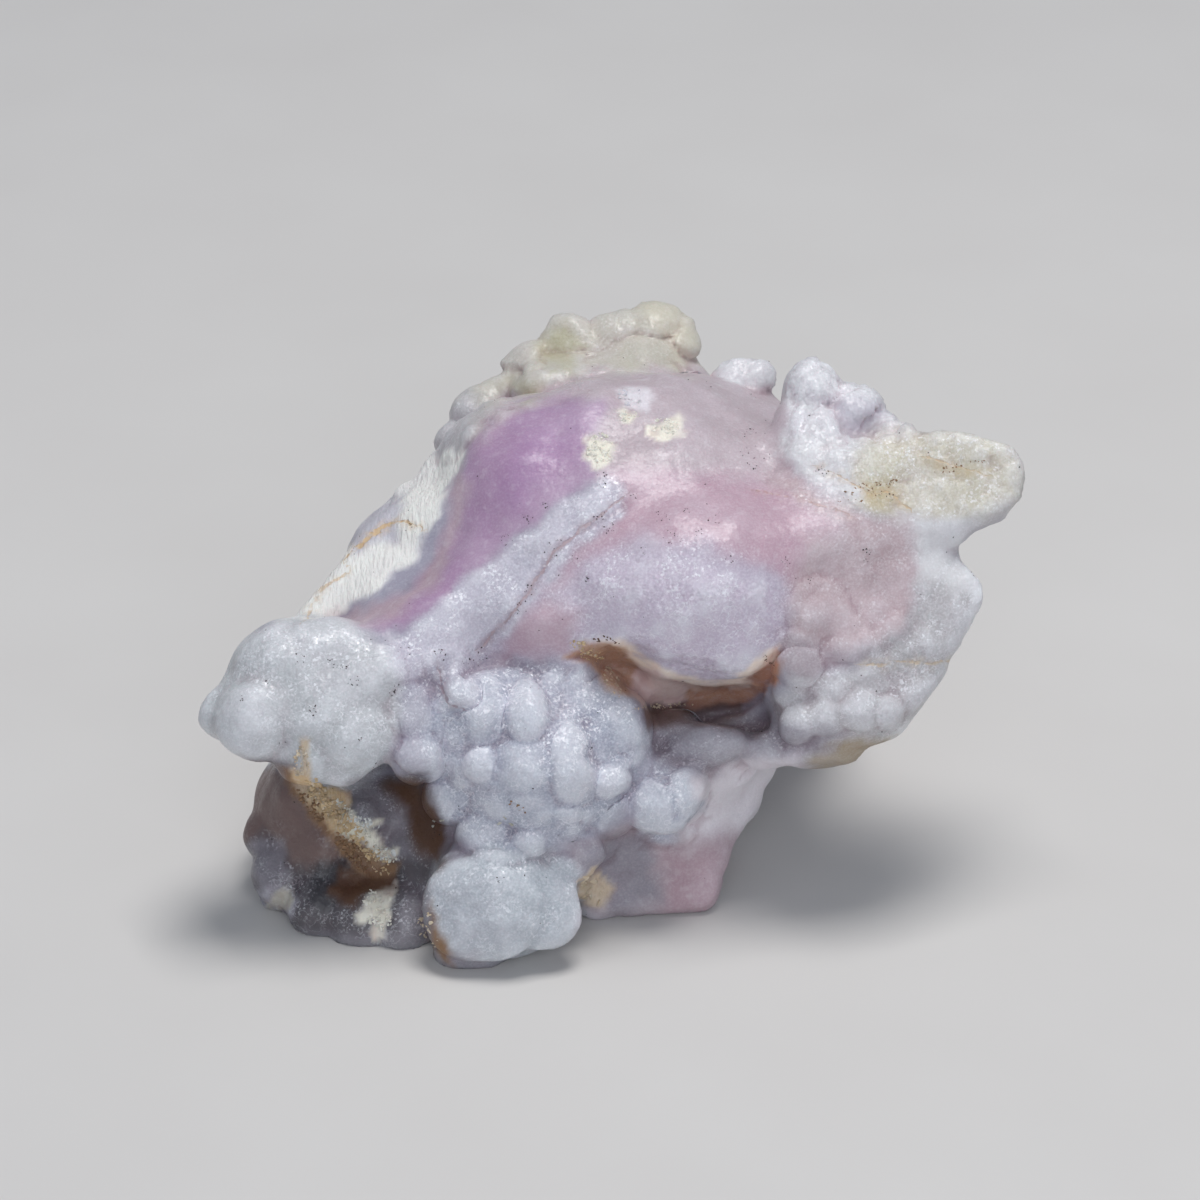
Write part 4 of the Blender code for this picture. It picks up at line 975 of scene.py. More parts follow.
def spheres_mesh(name, places):
    """One mesh of a sphere at each place."""
    count = len(SPHERE_CORNERS)
    corners = [SPHERE_CORNERS @ np.array(m.to_3x3()).T + np.array(m.to_translation()) for m in places]
    facets = [SPHERE_FACETS + count * i for i in range(len(places))]
    mesh = bpy.data.meshes.new(name)
    mesh.from_pydata(np.vstack(corners), [], np.vstack(facets))
    return mesh


def roll_lumps(path):
    """A rounded ridge, as spheres set close together along the path."""
    lumps = [path[-1]]
    for start, end in zip(path, path[1:]):
        steps = math.ceil(math.dist(start[:3], end[:3]) / (ROLL_STEP * start[3]))
        lumps += [tuple(a + (b - a) * i / steps for a, b in zip(start, end)) for i in range(steps)]
    return lumps


def span_hull(bm, corners):
    """Spans the convex hull of some corners, and drops those that lie inside it."""
    hull = bmesh.ops.convex_hull(bm, input=corners)
    loose = {v for v in hull["geom_interior"] + hull["geom_unused"] if isinstance(v, bmesh.types.BMVert)}
    bmesh.ops.delete(bm, geom=list(loose), context="VERTS")
    bmesh.ops.recalc_face_normals(bm, faces=bm.faces[:])


def evaluated_mesh(obj):
    """The object's mesh with its modifiers applied."""
    graph = bpy.context.evaluated_depsgraph_get()
    return bpy.data.meshes.new_from_object(obj.evaluated_get(graph))


def fused(obj, voxel, smoothing):
    """Melts the overlapping bodies of obj into one skin, then softens its creases."""
    remesh = obj.modifiers.new("fuse", "REMESH")
    remesh.mode = "VOXEL"
    remesh.voxel_size = voxel
    smooth = obj.modifiers.new("soften", "SMOOTH")
    smooth.factor = SMOOTH_FACTOR
    smooth.iterations = smoothing
    mesh = evaluated_mesh(obj)
    obj.modifiers.clear()
    obj.data = mesh
    keep_largest_shell(mesh)


def keep_largest_shell(mesh):
    """Drops the small sealed voids that are left between overlapping spheres."""
    bm = bmesh.new()
    bm.from_mesh(mesh)
    unseen = set(bm.verts)
    shells = []
    while unseen:
        front = [unseen.pop()]
        shell = list(front)
        while front:
            vert = front.pop()
            near = [e.other_vert(vert) for e in vert.link_edges]
            fresh = [v for v in near if v in unseen]
            unseen.difference_update(fresh)
            front.extend(fresh)
            shell.extend(fresh)
        shells.append(shell)
    shells.sort(key=len)
    for shell in shells[:-1]:
        bmesh.ops.delete(bm, geom=shell, context="VERTS")
    bm.to_mesh(mesh)
    bm.free()


def joined(body, places):
    """Adds a sphere at each place to the body's mesh."""
    bm = bmesh.new()
    bm.from_mesh(body.data)
    bm.from_mesh(spheres_mesh("knobs", places))
    bm.to_mesh(body.data)
    bm.free()


def surface_tree(body):
    bm = bmesh.new()
    bm.from_mesh(body.data)
    tree = BVHTree.FromBMesh(bm)
    bm.free()
    return tree


def build_body(name):
    """The stone's soft and angular masses, melted together."""
    lumps = CORE + LEFT_BULB + DOME + CLUSTER + FRONT_FOOT + GREY_CORNER + WING + HORN + ICY_CREST
    for path in (RIDGE_PATH, RIND_PATH, RIND_CREST_PATH, LIP_PATH):
        lumps = lumps + roll_lumps(path)
    body = add_object(name, spheres_mesh(name, [lump_place(lump) for lump in lumps]))
    bm = bmesh.new()
    bm.from_mesh(body.data)
    for corners in ANGULAR_PIECES:
        span_hull(bm, [bm.verts.new(face_point(c)) for c in corners])
    bm.to_mesh(body.data)
    bm.free()
    fused(body, BODY_VOXEL, BODY_SMOOTHING)
    joined(body, wild_knobs(body, WILD_LOBES))
    fused(body, BODY_VOXEL, LOBE_SMOOTHING)
    carve(body.data, BODY_HOLLOWS, [], [])
    return body


def wild_knobs(body, layer):
    """Knobs on the back and sides, found by looking in at the body from all round."""
    count, least, most, layer_sink, turned = layer
    tree = surface_tree(body)
    rng = random.Random(WILD_SEED)
    middle = face_point(WILD_MIDDLE)
    away_from_viewer = FACE.to_3x3() @ Vector((0, 0, -1))
    golden = math.pi * (3 - math.sqrt(5))
    places = []
    for i in range(count):
        height = 1 - 2 * (i + 0.5) / count
        ring = math.sqrt(1 - height * height)
        ray = Vector((ring * math.cos(golden * i), ring * math.sin(golden * i), height))
        radius = rng.uniform(least, most) * MM
        hit, normal, _, _ = tree.ray_cast(middle + ray * WILD_REACH, -ray)
        if hit is None or normal.dot(away_from_viewer) < turned:
            continue
        thickness = tree.ray_cast(hit - normal * SKIN_VOXEL, -normal)[3]
        radius = min(radius, THIN_SHARE * thickness)
        grown = min(1, (normal.dot(away_from_viewer) - turned) / WILD_FADE)
        sink = 1 - (1 - layer_sink) * grown
        places.append(knob_place(hit - normal * radius * sink, radius))
    return places


def lobe_place(tree, lobe):
    """Where a lobe goes: an ellipsoid sunk in the skin until only its rise stands clear."""
    across, up, half_width, half_height, roll, rise = lobe
    outward = FACE.to_3x3() @ Vector((0, 0, 1))
    hit, normal, _, _ = tree.ray_cast(face_point((across, up, VIEWER_OUT)), -outward)
    facing = (normal + outward).normalized()
    depth = rise / LOBE_SHARE
    return (
        Matrix.Translation(hit + facing * (rise - depth) * MM)
        @ outward.rotation_difference(facing).to_matrix().to_4x4()
        @ FACE.to_3x3().to_4x4()
        @ Matrix.Rotation(math.radians(roll), 4, "Z")
        @ Matrix.Diagonal((half_width * LOBE_SPREAD, half_height * LOBE_SPREAD, depth, 1.0))
    )


def strewn_spot(rng, half_width, half_height):
    """A random place in an ellipse, no part of it likelier than another."""
    angle, share = rng.uniform(0, math.tau), math.sqrt(rng.random())
    return Vector((half_width * share * math.cos(angle), half_height * share * math.sin(angle)))


def patch_knobs(tree, patch, rng):
    """Knobs strewn over one rolled ellipse of the display face, none crowding another."""
    across, up, half_width, half_height, roll, count, least, most, sink = patch
    turn = Matrix.Rotation(math.radians(roll), 2)
    looking_in = FACE.to_3x3() @ Vector((0, 0, -1))
    knobs = []
    for _ in range(count * PATCH_TRIES):
        if len(knobs) == count:
            break
        spot = turn @ strewn_spot(rng, half_width, half_height)
        radius = rng.uniform(least, most) * MM
        start = face_point((across + spot.x, up + spot.y, VIEWER_OUT))
        hit, normal, _, _ = tree.ray_cast(start, looking_in)
        if hit is None:
            continue
        centre = hit - normal * radius * sink
        if all((centre - other).length > PATCH_SPACING * max(radius, size) for other, size in knobs):
            knobs.append((centre, radius))
    return [knob_place(*knob) for knob in knobs]


def grow_knobs(body):
    """The body with its knobs and lobes, wild, placed and strewn, melted into one skin."""
    wild = wild_knobs(body, WILD_KNOBS)
    placed = BULB_KNOBS + CLUSTER_KNOBS + SHELF_KNOBS + WING_KNOBS
    placed = placed + REAR_CREST_KNOBS + ICY_KNOBS + FOOT_KNOBS
    joined(body, [lump_place(knob) for knob in placed])
    tree = surface_tree(body)
    rng = random.Random(PATCH_SEED)
    lobes = [lobe_place(tree, lobe) for lobe in CLUSTER_LOBES + WING_LOBES + FOOT_LOBES]
    strewn = []
    for patch in KNOB_PATCHES:
        strewn += patch_knobs(tree, patch, rng)
    joined(body, wild + lobes + strewn)
    fused(body, SKIN_VOXEL, SKIN_SMOOTHING)


def flatten_feet(mesh):
    """Presses what reaches below the ground flat onto it."""
    points = np.empty(len(mesh.vertices) * 3)
    mesh.vertices.foreach_get("co", points)
    points = points.reshape(-1, 3)
    points[points[:, 2] < 0, 2] = 0.0
    mesh.vertices.foreach_set("co", points.ravel())
    mesh.update()


def mesh_array(mesh, kind):
    """The vertices' places or normals, as rows in the display face's directions."""
    values = np.empty(len(mesh.vertices) * 3)
    mesh.vertices.foreach_get(kind, values)
    return values.reshape(-1, 3) @ FACE_TURN


def face_places(mesh):
    """The vertices as places of the display face, in millimetres."""
    return (mesh_array(mesh, "co") - FACE_START) / MM


def place_vertices(mesh, places):
    """Puts the vertices at places of the display face."""
    mesh.vertices.foreach_set("co", ((places * MM + FACE_START) @ FACE_TURN.T).ravel())
    mesh.update()


def press_hollow(points, normals, hollow):
    """Pushes the part of the surface that faces the viewer back inside a rolled ellipse."""
    across, up, least_out, half_width, half_height, roll, depth = hollow
    angle = math.radians(roll)
    x, y = points[:, 0] - across, points[:, 1] - up
    along = (x * math.cos(angle) + y * math.sin(angle)) / half_width
    over = (y * math.cos(angle) - x * math.sin(angle)) / half_height
    inside = np.clip(1 - along**2 - over**2, 0, None) ** HOLLOW_EASE
    inside[(points[:, 2] < least_out) | (normals[:, 2] < 0)] = 0
    points[:, 2] -= depth * inside


def cut_crack(points, normals, path, half_width, depth):
    """Cuts a narrow groove along a path, square to the surface."""
    nearest = np.full(len(points), np.inf)
    for start, end in zip(path, path[1:]):
        start, step = np.array(start), np.array(end) - np.array(start)
        share = np.clip((points[:, :2] - start) @ step / (step @ step), 0, 1)
        gap = np.linalg.norm(points[:, :2] - start - share[:, None] * step, axis=1)
        nearest = np.minimum(nearest, gap)
    cut = depth * np.clip(1 - nearest / half_width, 0, None)
    cut[normals[:, 2] < CRACK_FACING] = 0
    points -= normals * cut[:, None]


def strike_chip(points, chip):
    """Flattens what stands past a plane, near one place."""
    centre, facing, reach = chip
    facing = np.array(facing) / np.linalg.norm(facing)
    offset = points - np.array(centre)
    past = offset @ facing
    struck = (past > 0) & (np.linalg.norm(offset, axis=1) < reach)
    points[struck] -= past[struck, None] * facing


def carve(mesh, hollows, crack_path, chips):
    """Hollows, a crack and broken faces, worked into a finished skin."""
    points = face_places(mesh)
    normals = mesh_array(mesh, "normal")
    for hollow in hollows:
        press_hollow(points, normals, hollow)
    cut_crack(points, normals, crack_path, CRACK_WIDTH, CRACK_DEPTH)
    for chip in chips:
        strike_chip(points, chip)
    place_vertices(mesh, points)


def seen_pixels(places):
    """Where places of the display face fall in the photograph."""
    nearer = VIEW_DISTANCE / (VIEW_DISTANCE + VIEW_OUT - places[:, 2])
    x = PICTURE_MIDDLE + places[:, 0] * nearer / PIXEL
    y = PICTURE_MIDDLE - (places[:, 1] - VIEW_UP) * nearer / PIXEL
    return np.stack((x, y), axis=1)


def sight_line(x, y):
    """The viewer's place, and the way from it through a pixel."""
    eye = face_point((0, VIEW_UP, VIEW_OUT + VIEW_DISTANCE))
    across, up = (x - PICTURE_MIDDLE) * PIXEL, VIEW_UP + (PICTURE_MIDDLE - y) * PIXEL
    through = face_point((across, up, VIEW_OUT))
    return eye, (through - eye).normalized()


def soft_step(value):
    share = np.clip(value, 0, 1)
    return share * share * (3 - 2 * share)


def towards_viewer(normals, slope, edge_on):
    """1 where the skin faces the viewer, and softly down to 0 where it faces away."""
    return soft_step(normals[:, 2] * slope + edge_on)


def cloudy(places, pitch, seed):
    """Smooth random numbers, three for each place, about -1 to 1."""
    shift = Vector((seed, 0, 0))
    return np.array([noise.noise_vector(Vector(p) / pitch + shift) for p in places])


def depth_inside(spots, corners):
    """How far inside a polygon each spot lies, in pixels. It is negative outside."""
    nearest = np.full(len(spots), np.inf)
    inside = np.zeros(len(spots), bool)
    for (x0, y0), (x1, y1) in zip(corners, corners[1:] + corners[:1]):
        edge = np.array((x1 - x0, y1 - y0))
        offset = spots - (x0, y0)
        share = np.clip(offset @ edge / (edge @ edge), 0, 1)
        nearest = np.minimum(nearest, np.linalg.norm(offset - share[:, None] * edge, axis=1))
        if y0 != y1:
            spans = (y0 > spots[:, 1]) != (y1 > spots[:, 1])
            inside ^= spans & (spots[:, 0] < x0 + (spots[:, 1] - y0) * (x1 - x0) / (y1 - y0))
    return np.where(inside, nearest, -nearest)


def path_distance(spots, path):
    """How far each spot lies from a path, in millimetres, with the side as its sign."""
    nearest = np.full(len(spots), np.inf)
    signed = np.zeros(len(spots))
    for start, end in zip(path, path[1:]):
        step = np.array(end) - np.array(start)
        offset = spots - start
        share = np.clip(offset @ step / (step @ step), 0, 1)
        gap = np.linalg.norm(offset - share[:, None] * step, axis=1)
        side = np.sign(offset[:, 0] * step[1] - offset[:, 1] * step[0])
        closer = gap < nearest
        nearest[closer] = gap[closer]
        signed[closer] = (gap * side)[closer]
    return signed * PIXEL


def stand_out(mesh, places, rounds):
    """How far each vertex stands out of its surroundings, in millimetres. It is negative in a crease."""
    return np.sum((places - levelled(mesh, places, rounds)) * mesh_array(mesh, "normal"), axis=1)


def keep_numbers(mesh, name, values):
    """Keeps four numbers at each vertex, for the material to read."""
    layer = mesh.attributes.new(name, "FLOAT_COLOR", "POINT")
    layer.data.foreach_set("color", values.astype(np.float32).ravel())


def wild_paint(places):
    """Colour, frost, crystal and chalk for the sides that the photograph doesn't show."""
    broad = cloudy(places, *BROAD_CLOUDS)
    small = cloudy(places, *SMALL_CLOUDS)
    paint = np.zeros((len(places), 6))
    paint[:, :3] = COLOURS["cloud"]
    layers = (("cream", broad[:, 0]), ("base", broad[:, 1]), ("smoke", broad[:, 2]), ("bulb", small[:, 0]))
    start, span = WILD_COLOUR
    for name, field in layers:
        share = soft_step((field - start) / span)[:, None]
        paint[:, :3] += (np.array(COLOURS[name]) - paint[:, :3]) * share
    least, added, span = WILD_FROST
    paint[:, 3] = least + added * soft_step(small[:, 1] / span)
    most, start, span = WILD_CRYSTAL
    paint[:, 4] = most * soft_step((small[:, 2] - start) / span)
    return paint


def region_paint(places, spots):
    """Colour, frost, crystal and chalk by the regions of the photograph."""
    paint = np.zeros((len(places), 6))
    paint[:, :3] = COLOURS["lilac"]
    for pitch, seed, reach in REGION_WOBBLES:
        spots = spots + cloudy(places, pitch, seed)[:, :2] * reach
    for name, soft, frost, crystal, chalk, corners in REGIONS:
        share = soft_step(depth_inside(spots, corners) / soft + 0.5)[:, None]
        paint += (np.array((*COLOURS[name], frost, crystal, chalk)) - paint) * share
    return paint


def milkiness(tints):
    """1 where the stone is pale enough to look milky, and 0 where it is dark."""
    return soft_step((tints.mean(axis=1) - MILKY_LEAST) / (MILKY_MOST - MILKY_LEAST))


def paint_seams(mesh, places, spots, facing):
    """Keeps each vertex's distance from the nearest seam, with that seam's strength, width and colour."""
    lines = np.zeros((len(places), 4))
    lines[:, 0] = SEAM_REACH
    tints = np.zeros((len(places), 4))
    pitch, seed, reach = SEAM_WOBBLE
    wobbly = spots + cloudy(places, pitch, seed)[:, :2] * reach
    for name, half_width, strength, path in SEAMS:
        distance = path_distance(wobbly, path)
        closer = np.abs(distance) < np.abs(lines[:, 0])
        fade = soft_step(SEAM_FADE - SEAM_FADE * np.abs(distance) / SEAM_REACH) * strength * facing
        lines[closer, 0] = distance[closer]
        lines[closer, 1] = fade[closer]
        lines[closer, 2] = half_width
        tints[closer, :3] = COLOURS[name]
    keep_numbers(mesh, "seam", lines)
    keep_numbers(mesh, "seam_tint", tints)


def levelled(mesh, places, rounds):
    """The places after each has moved to the middle of its neighbours, a number of times."""
    ends = np.empty(len(mesh.edges) * 2, int)
    mesh.edges.foreach_get("vertices", ends)
    a, b = ends[0::2], ends[1::2]
    shared = np.bincount(ends, minlength=len(places))
    level = places
    for _ in range(rounds):
        sums = [
            np.bincount(a, level[b, k], len(places)) + np.bincount(b, level[a, k], len(places))
            for k in range(3)
        ]
        level = np.stack(sums, axis=1) / shared[:, None]
    return level


def crystal_faces(places, pitch):
    """How high a place stands on the small tilted face it belongs to, as a share of the pitch."""
    heights = np.empty(len(places))
    for i, place in enumerate(places):
        spot = Vector(place) / pitch
        middle = noise.voronoi(spot)[1][0]
        heights[i] = (spot - middle).dot(noise.cell_vector(middle * CELL_SPREAD))
    return heights


def lifted(spots, bumps, power, merge):
    """How far the bumps lift each spot, in millimetres."""
    lift = np.zeros(len(spots))
    for x, y, half_width, half_height, roll, rise in bumps:
        cosine, sine = math.cos(math.radians(roll)), math.sin(math.radians(roll))
        right, down = (spots - (x, y)).T
        reach = ((right * cosine - down * sine) / half_width) ** 2
        reach += ((right * sine + down * cosine) / half_height) ** 2
        lift = merge(lift, rise * np.clip(1 - reach, 0, 1) ** power)
    return lift


def settle(mesh, places, spots):
    """Sinks the knobs into each other."""
    for rounds, areas in SETTLED.items():
        share = np.zeros(len(places))
        for x, y, half_width, half_height, most in areas:
            reach = ((spots[:, 0] - x) / half_width) ** 2 + ((spots[:, 1] - y) / half_height) ** 2
            share = np.maximum(share, most * soft_step(SETTLE_MIDDLE - SETTLE_FALL * reach))
        places += (levelled(mesh, places, rounds) - places) * share[:, None]


def weather(stone):
    """Settles and puffs up the lobes, bends them out of round and breaks the crystals into faces."""
    mesh = stone.data
    places = face_places(mesh)
    spots = seen_pixels(places)
    settle(mesh, places, spots)
    normals = mesh_array(mesh, "normal")
    seen = towards_viewer(normals, *LIFT_TURN)
    lift = lifted(spots, PUFFS, PUFF_POWER, np.maximum) + lifted(spots, SWELLS, SWELL_POWER, np.add)
    places += normals * (lift * seen)[:, None]
    facing = towards_viewer(normals, *RECESS_TURN)
    for depth, soft, corners in RECESSES:
        places[:, 2] -= depth * facing * soft_step(depth_inside(spots, corners) / soft)
    for pitch, reach, seed in BENDS:
        places += cloudy(places, pitch, seed) * reach
    crystal = region_paint(places, spots)[:, 4] * seen
    picked = crystal > CRYSTAL_LEAST
    for pitch, height in CRYSTAL_FACES:
        lift = crystal_faces(places[picked], pitch) * height * crystal[picked]
        places[picked] += normals[picked] * lift[:, None]
    place_vertices(mesh, places)


def paint_stone(stone):
    """Works out what the opal material reads at each vertex."""
    mesh = stone.data
    places = face_places(mesh)
    spots = seen_pixels(places)
    facing = towards_viewer(mesh_array(mesh, "normal"), *PAINT_TURN)
    wild = wild_paint(places)
    paint = wild + (region_paint(places, spots) - wild) * facing[:, None]
    fine, broad = stand_out(mesh, places, KNOB_ROUNDS), stand_out(mesh, places, LOBE_ROUNDS)
    ones = np.ones(len(places))
    keep_numbers(mesh, "place", np.column_stack((places, ones)))
    keep_numbers(mesh, "tint", np.column_stack((paint[:, :3], ones)))
    keep_numbers(mesh, "finish", np.column_stack((paint[:, 3:6], milkiness(paint[:, :3]))))
    keep_numbers(mesh, "relief", np.column_stack((
        soft_step(fine / KNOB_TOP),
        soft_step((-fine - CREASE_START) / CREASE_SPAN),
        soft_step(broad / LOBE_TOP),
        soft_step(-broad / LOBE_TOP),
    )))
    paint_seams(mesh, places, spots, facing)


def crumb_form(rng):
    """The corners and facets of one angular crumb, about a millimetre in radius."""
    bm = bmesh.new()
    for _ in range(CRUMB_CORNERS):
        corner = Vector((rng.gauss(0, 1), rng.gauss(0, 1), rng.gauss(0, 1)))
        bm.verts.new(corner.normalized() * rng.uniform(*CRUMB_REACH))
    span_hull(bm, bm.verts[:])
    return corners_and_facets(bm)


def crumb_place(hit, normal, radius, rng):
    """A crumb's place: sunk a little in the skin and turned at random."""
    spin = Vector((rng.gauss(0, 1), rng.gauss(0, 1), rng.gauss(0, 1))).normalized()
    return (
        Matrix.Translation(hit - normal * radius * CRUMB_SINK)
        @ Matrix.Rotation(rng.uniform(0, math.tau), 4, spin)
        @ Matrix.Diagonal([radius, *(radius * rng.uniform(*CRUMB_FLATNESS) for _ in range(2)), 1])
    )


def crumb_places(bed, tree, rng):
    """Where the crumbs of one bed go, with their colours."""
    name, x, y, half_width, half_height, roll, count, least, most = bed
    turn = Matrix.Rotation(math.radians(-roll), 2)
    made = []
    for _ in range(count):
        spot = turn @ strewn_spot(rng, half_width, half_height)
        hit, normal, _, _ = tree.ray_cast(*sight_line(x + spot.x, y + spot.y))
        if hit is None:
            continue
        place = crumb_place(hit, normal, rng.uniform(least, most) * MM, rng)
        made.append((place, np.array(COLOURS[name]) * rng.uniform(*CRUMB_SHADES)))
    return made


def wild_specks(mesh, rng):
    """Dark grains strewn over the whole skin."""
    made = []
    for _ in range(WILD_SPECKS):
        vertex = mesh.vertices[rng.randrange(len(mesh.vertices))]
        place = crumb_place(vertex.co, vertex.normal, rng.uniform(*SPECK_GRAIN) * MM, rng)
        made.append((place, np.array(COLOURS["pepper"])))
    return made


def make_crumbs(stone, tree):
    """The mineral grains of the beds and the specks, one mesh of small angular forms."""
    rng = random.Random(CRUMB_SEED)
    forms = [crumb_form(rng) for _ in range(CRUMB_FORMS)]
    specks = []
    for x, y, radius in SPECKS:
        spread = radius * SPECK_SPREAD
        specks.append(("pepper", x, y, spread, spread, 0, radius * SPECK_GRAINS, *SPECK_GRAIN))
    placed = [crumb for bed in CRUMB_BEDS + specks for crumb in crumb_places(bed, tree, rng)]
    corners, facets, tints, count = [], [], [], 0
    for place, tint in placed + wild_specks(stone.data, rng):
        form_corners, form_facets = rng.choice(forms)
        turned = form_corners @ np.array(place.to_3x3()).T + np.array(place.to_translation())
        corners.append(turned)
        facets.append(form_facets + count)
        tints.append(np.tile((*tint, milkiness(tint[None])[0]), (len(turned), 1)))
        count += len(turned)
    mesh = bpy.data.meshes.new("mineral_crumbs")
    mesh.from_pydata(np.vstack(corners), [], np.vstack(facets))
    keep_numbers(mesh, "tint", np.vstack(tints))
    keep_numbers(mesh, "place", np.column_stack((face_places(mesh), np.ones(count))))
    return add_object("mineral_crumbs", mesh)


# Material building: each helper adds a node and returns what comes out of it.
MIX_SHARE, MIX_LOW, MIX_HIGH, MIX_RESULT = 0, 6, 7, 2
MID_GREY = (0.5, 0.5, 0.5)


def add_node(tree, kind, **settings):
    node = tree.nodes.new(kind)
    for key, value in settings.items():
        setattr(node, key, value)
    return node


def feed(tree, socket, value):
    """Links what comes out of a node to a socket, or sets the socket to a value."""
    if isinstance(value, bpy.types.NodeSocket):
        tree.links.new(value, socket)
    else:
        socket.default_value = value


def kept(tree, name):
    """The four numbers kept at the vertices: as a colour, and each by itself."""
    node = add_node(tree, "ShaderNodeAttribute", attribute_type="GEOMETRY", attribute_name=name)
    parts = add_node(tree, "ShaderNodeSeparateColor")
    feed(tree, parts.inputs[0], node.outputs["Color"])
    return node.outputs["Color"], [*parts.outputs, node.outputs["Alpha"]]


def maths(tree, operation, a, b=0.0):
    node = add_node(tree, "ShaderNodeMath", operation=operation)
    feed(tree, node.inputs[0], a)
    feed(tree, node.inputs[1], b)
    return node.outputs[0]


def vector_maths(tree, operation, a, b):
    node = add_node(tree, "ShaderNodeVectorMath", operation=operation)
    feed(tree, node.inputs[0], a)
    feed(tree, node.inputs[1], b)
    return node.outputs


def total(tree, *values):
    result = values[0]
    for value in values[1:]:
        result = maths(tree, "ADD", result, value)
    return result


def product(tree, *values):
    result = values[0]
    for value in values[1:]:
        result = maths(tree, "MULTIPLY", result, value)
    return result


def ramp(tree, value, start, end):
    """Goes smoothly from 0 to 1 as the value goes from start to end."""
    node = add_node(tree, "ShaderNodeMapRange", interpolation_type="SMOOTHSTEP")
    feed(tree, node.inputs["Value"], value)
    feed(tree, node.inputs["From Min"], start)
    feed(tree, node.inputs["From Max"], end)
    return node.outputs["Result"]


def mixed(tree, share, low, high, kind="MIX"):
    node = add_node(tree, "ShaderNodeMix", data_type="RGBA", blend_type=kind)
    feed(tree, node.inputs[MIX_SHARE], share)
    feed(tree, node.inputs[MIX_LOW], low)
    feed(tree, node.inputs[MIX_HIGH], high)
    return node.outputs[MIX_RESULT]


def grain(tree, place, pitch, detail=2.0):
    """Soft random numbers about 0.5, with features about pitch millimetres across."""
    node = add_node(tree, "ShaderNodeTexNoise")
    feed(tree, node.inputs["Vector"], place)
    feed(tree, node.inputs["Scale"], 1 / pitch)
    feed(tree, node.inputs["Detail"], detail)
    return node.outputs["Fac"]


def patches(tree, place, pitch, start, end):
    """1 on soft patches about pitch millimetres across, and 0 between them."""
    return ramp(tree, grain(tree, place, pitch), start, end)


def stretched(tree, place, turn, scale):
    """The place, turned in the display face and scaled along each direction."""
    node = add_node(tree, "ShaderNodeMapping")
    feed(tree, node.inputs["Vector"], place)
    feed(tree, node.inputs["Rotation"], (0, 0, math.radians(turn)))
    feed(tree, node.inputs["Scale"], scale)
    return node.outputs["Vector"]


def cells(tree, place, pitch):
    node = add_node(tree, "ShaderNodeTexVoronoi")
    feed(tree, node.inputs["Vector"], place)
    feed(tree, node.inputs["Scale"], 1 / pitch)
    return node.outputs


def facets(tree, place, pitch):
    """Cells that each tilt their own way, as crystal faces do: the height, and the cell's colour."""
    scaled = add_node(tree, "ShaderNodeVectorMath", operation="SCALE")
    feed(tree, scaled.inputs[0], place)
    feed(tree, scaled.inputs["Scale"], 1 / pitch)
    cell = cells(tree, scaled.outputs["Vector"], 1.0)
    offset = vector_maths(tree, "SUBTRACT", scaled.outputs["Vector"], cell["Position"])
    lean = vector_maths(tree, "SUBTRACT", cell["Color"], MID_GREY)
    tilt = vector_maths(tree, "DOT_PRODUCT", offset["Vector"], lean["Vector"])
    return tilt["Value"], cell["Color"]


def clouded(tree, place, result, cloud, share, kind="MIX"):
    """Lays one cloud over a colour."""
    pitch, start, end, strength, tint = cloud
    cover = product(tree, patches(tree, place, pitch, start, end), share, strength)
    return mixed(tree, cover, result, tint, kind)


def opal_colour(tree, place, finish, relief, covers):
    """The opal's colour, from its painted tint to its seams, with painted shade in creases and hollows,
    painted highlights on the tops of knobs and lobes, and painted glints.
    """
    frost, _, _, milky = finish
    knob_top, crease, lobe_top, hollow = relief
    tint, _ = kept(tree, "tint")
    result = clouded(tree, place, tint, MILK, milky)
    result = clouded(tree, place, result, DEPTH, 1.0, "MULTIPLY")
    dusty = total(tree, DUST_LEAST, product(tree, frost, DUST_ON_FROST))
    dust = ramp(tree, grain(tree, place, DUST_PITCH, 1.0), *DUST_RANGE)
    result = mixed(tree, product(tree, dust, milky, dusty), result, FROST_TINT)
    result = mixed(tree, covers["lace"], result, FROST_TINT)
    result = clouded(tree, place, result, VEIL, milky)
    # Frost whitening and painted highlight on the tops of knobs and lobes
    tops = total(tree, product(tree, knob_top, KNOB_RIM), product(tree, lobe_top, LOBE_RIM))
    result = mixed(tree, product(tree, frost, milky, tops), result, TOP_FROST_AND_HIGHLIGHT_TINT)
    shade = total(tree, product(tree, crease, CREASE_SHADE), product(tree, hollow, HOLLOW_SHADE))
    result = mixed(tree, shade, result, SHADE_TINT, "MULTIPLY")
    # Painted glints: whitened cells where frosted skin faces up to the light
    result = mixed(tree, product(tree, covers["painted_glint"], PAINTED_GLINT_SHARE), result, PAINTED_GLINT_TINT)
    seam_tint, _ = kept(tree, "seam_tint")
    result = mixed(tree, covers["stain"], result, seam_tint)
    return mixed(tree, covers["seam"], result, seam_tint)


def upward(tree):
    """1 where the skin faces up, and 0 where it faces sideways or down: it keeps the painted glints to skin
    that faces the overhead light.
    """
    node = add_node(tree, "ShaderNodeNewGeometry")
    parts = add_node(tree, "ShaderNodeSeparateXYZ")
    feed(tree, parts.inputs[0], node.outputs["Normal"])
    return ramp(tree, parts.outputs["Z"], 0.0, UPWARD_FULL)


def lace(tree, place):
    """Fine white lines that wander over the skin."""
    middle = maths(tree, "SUBTRACT", grain(tree, place, LACE_PITCH), 0.5)
    return ramp(tree, maths(tree, "ABSOLUTE", middle), LACE_WIDTH, 0.0)


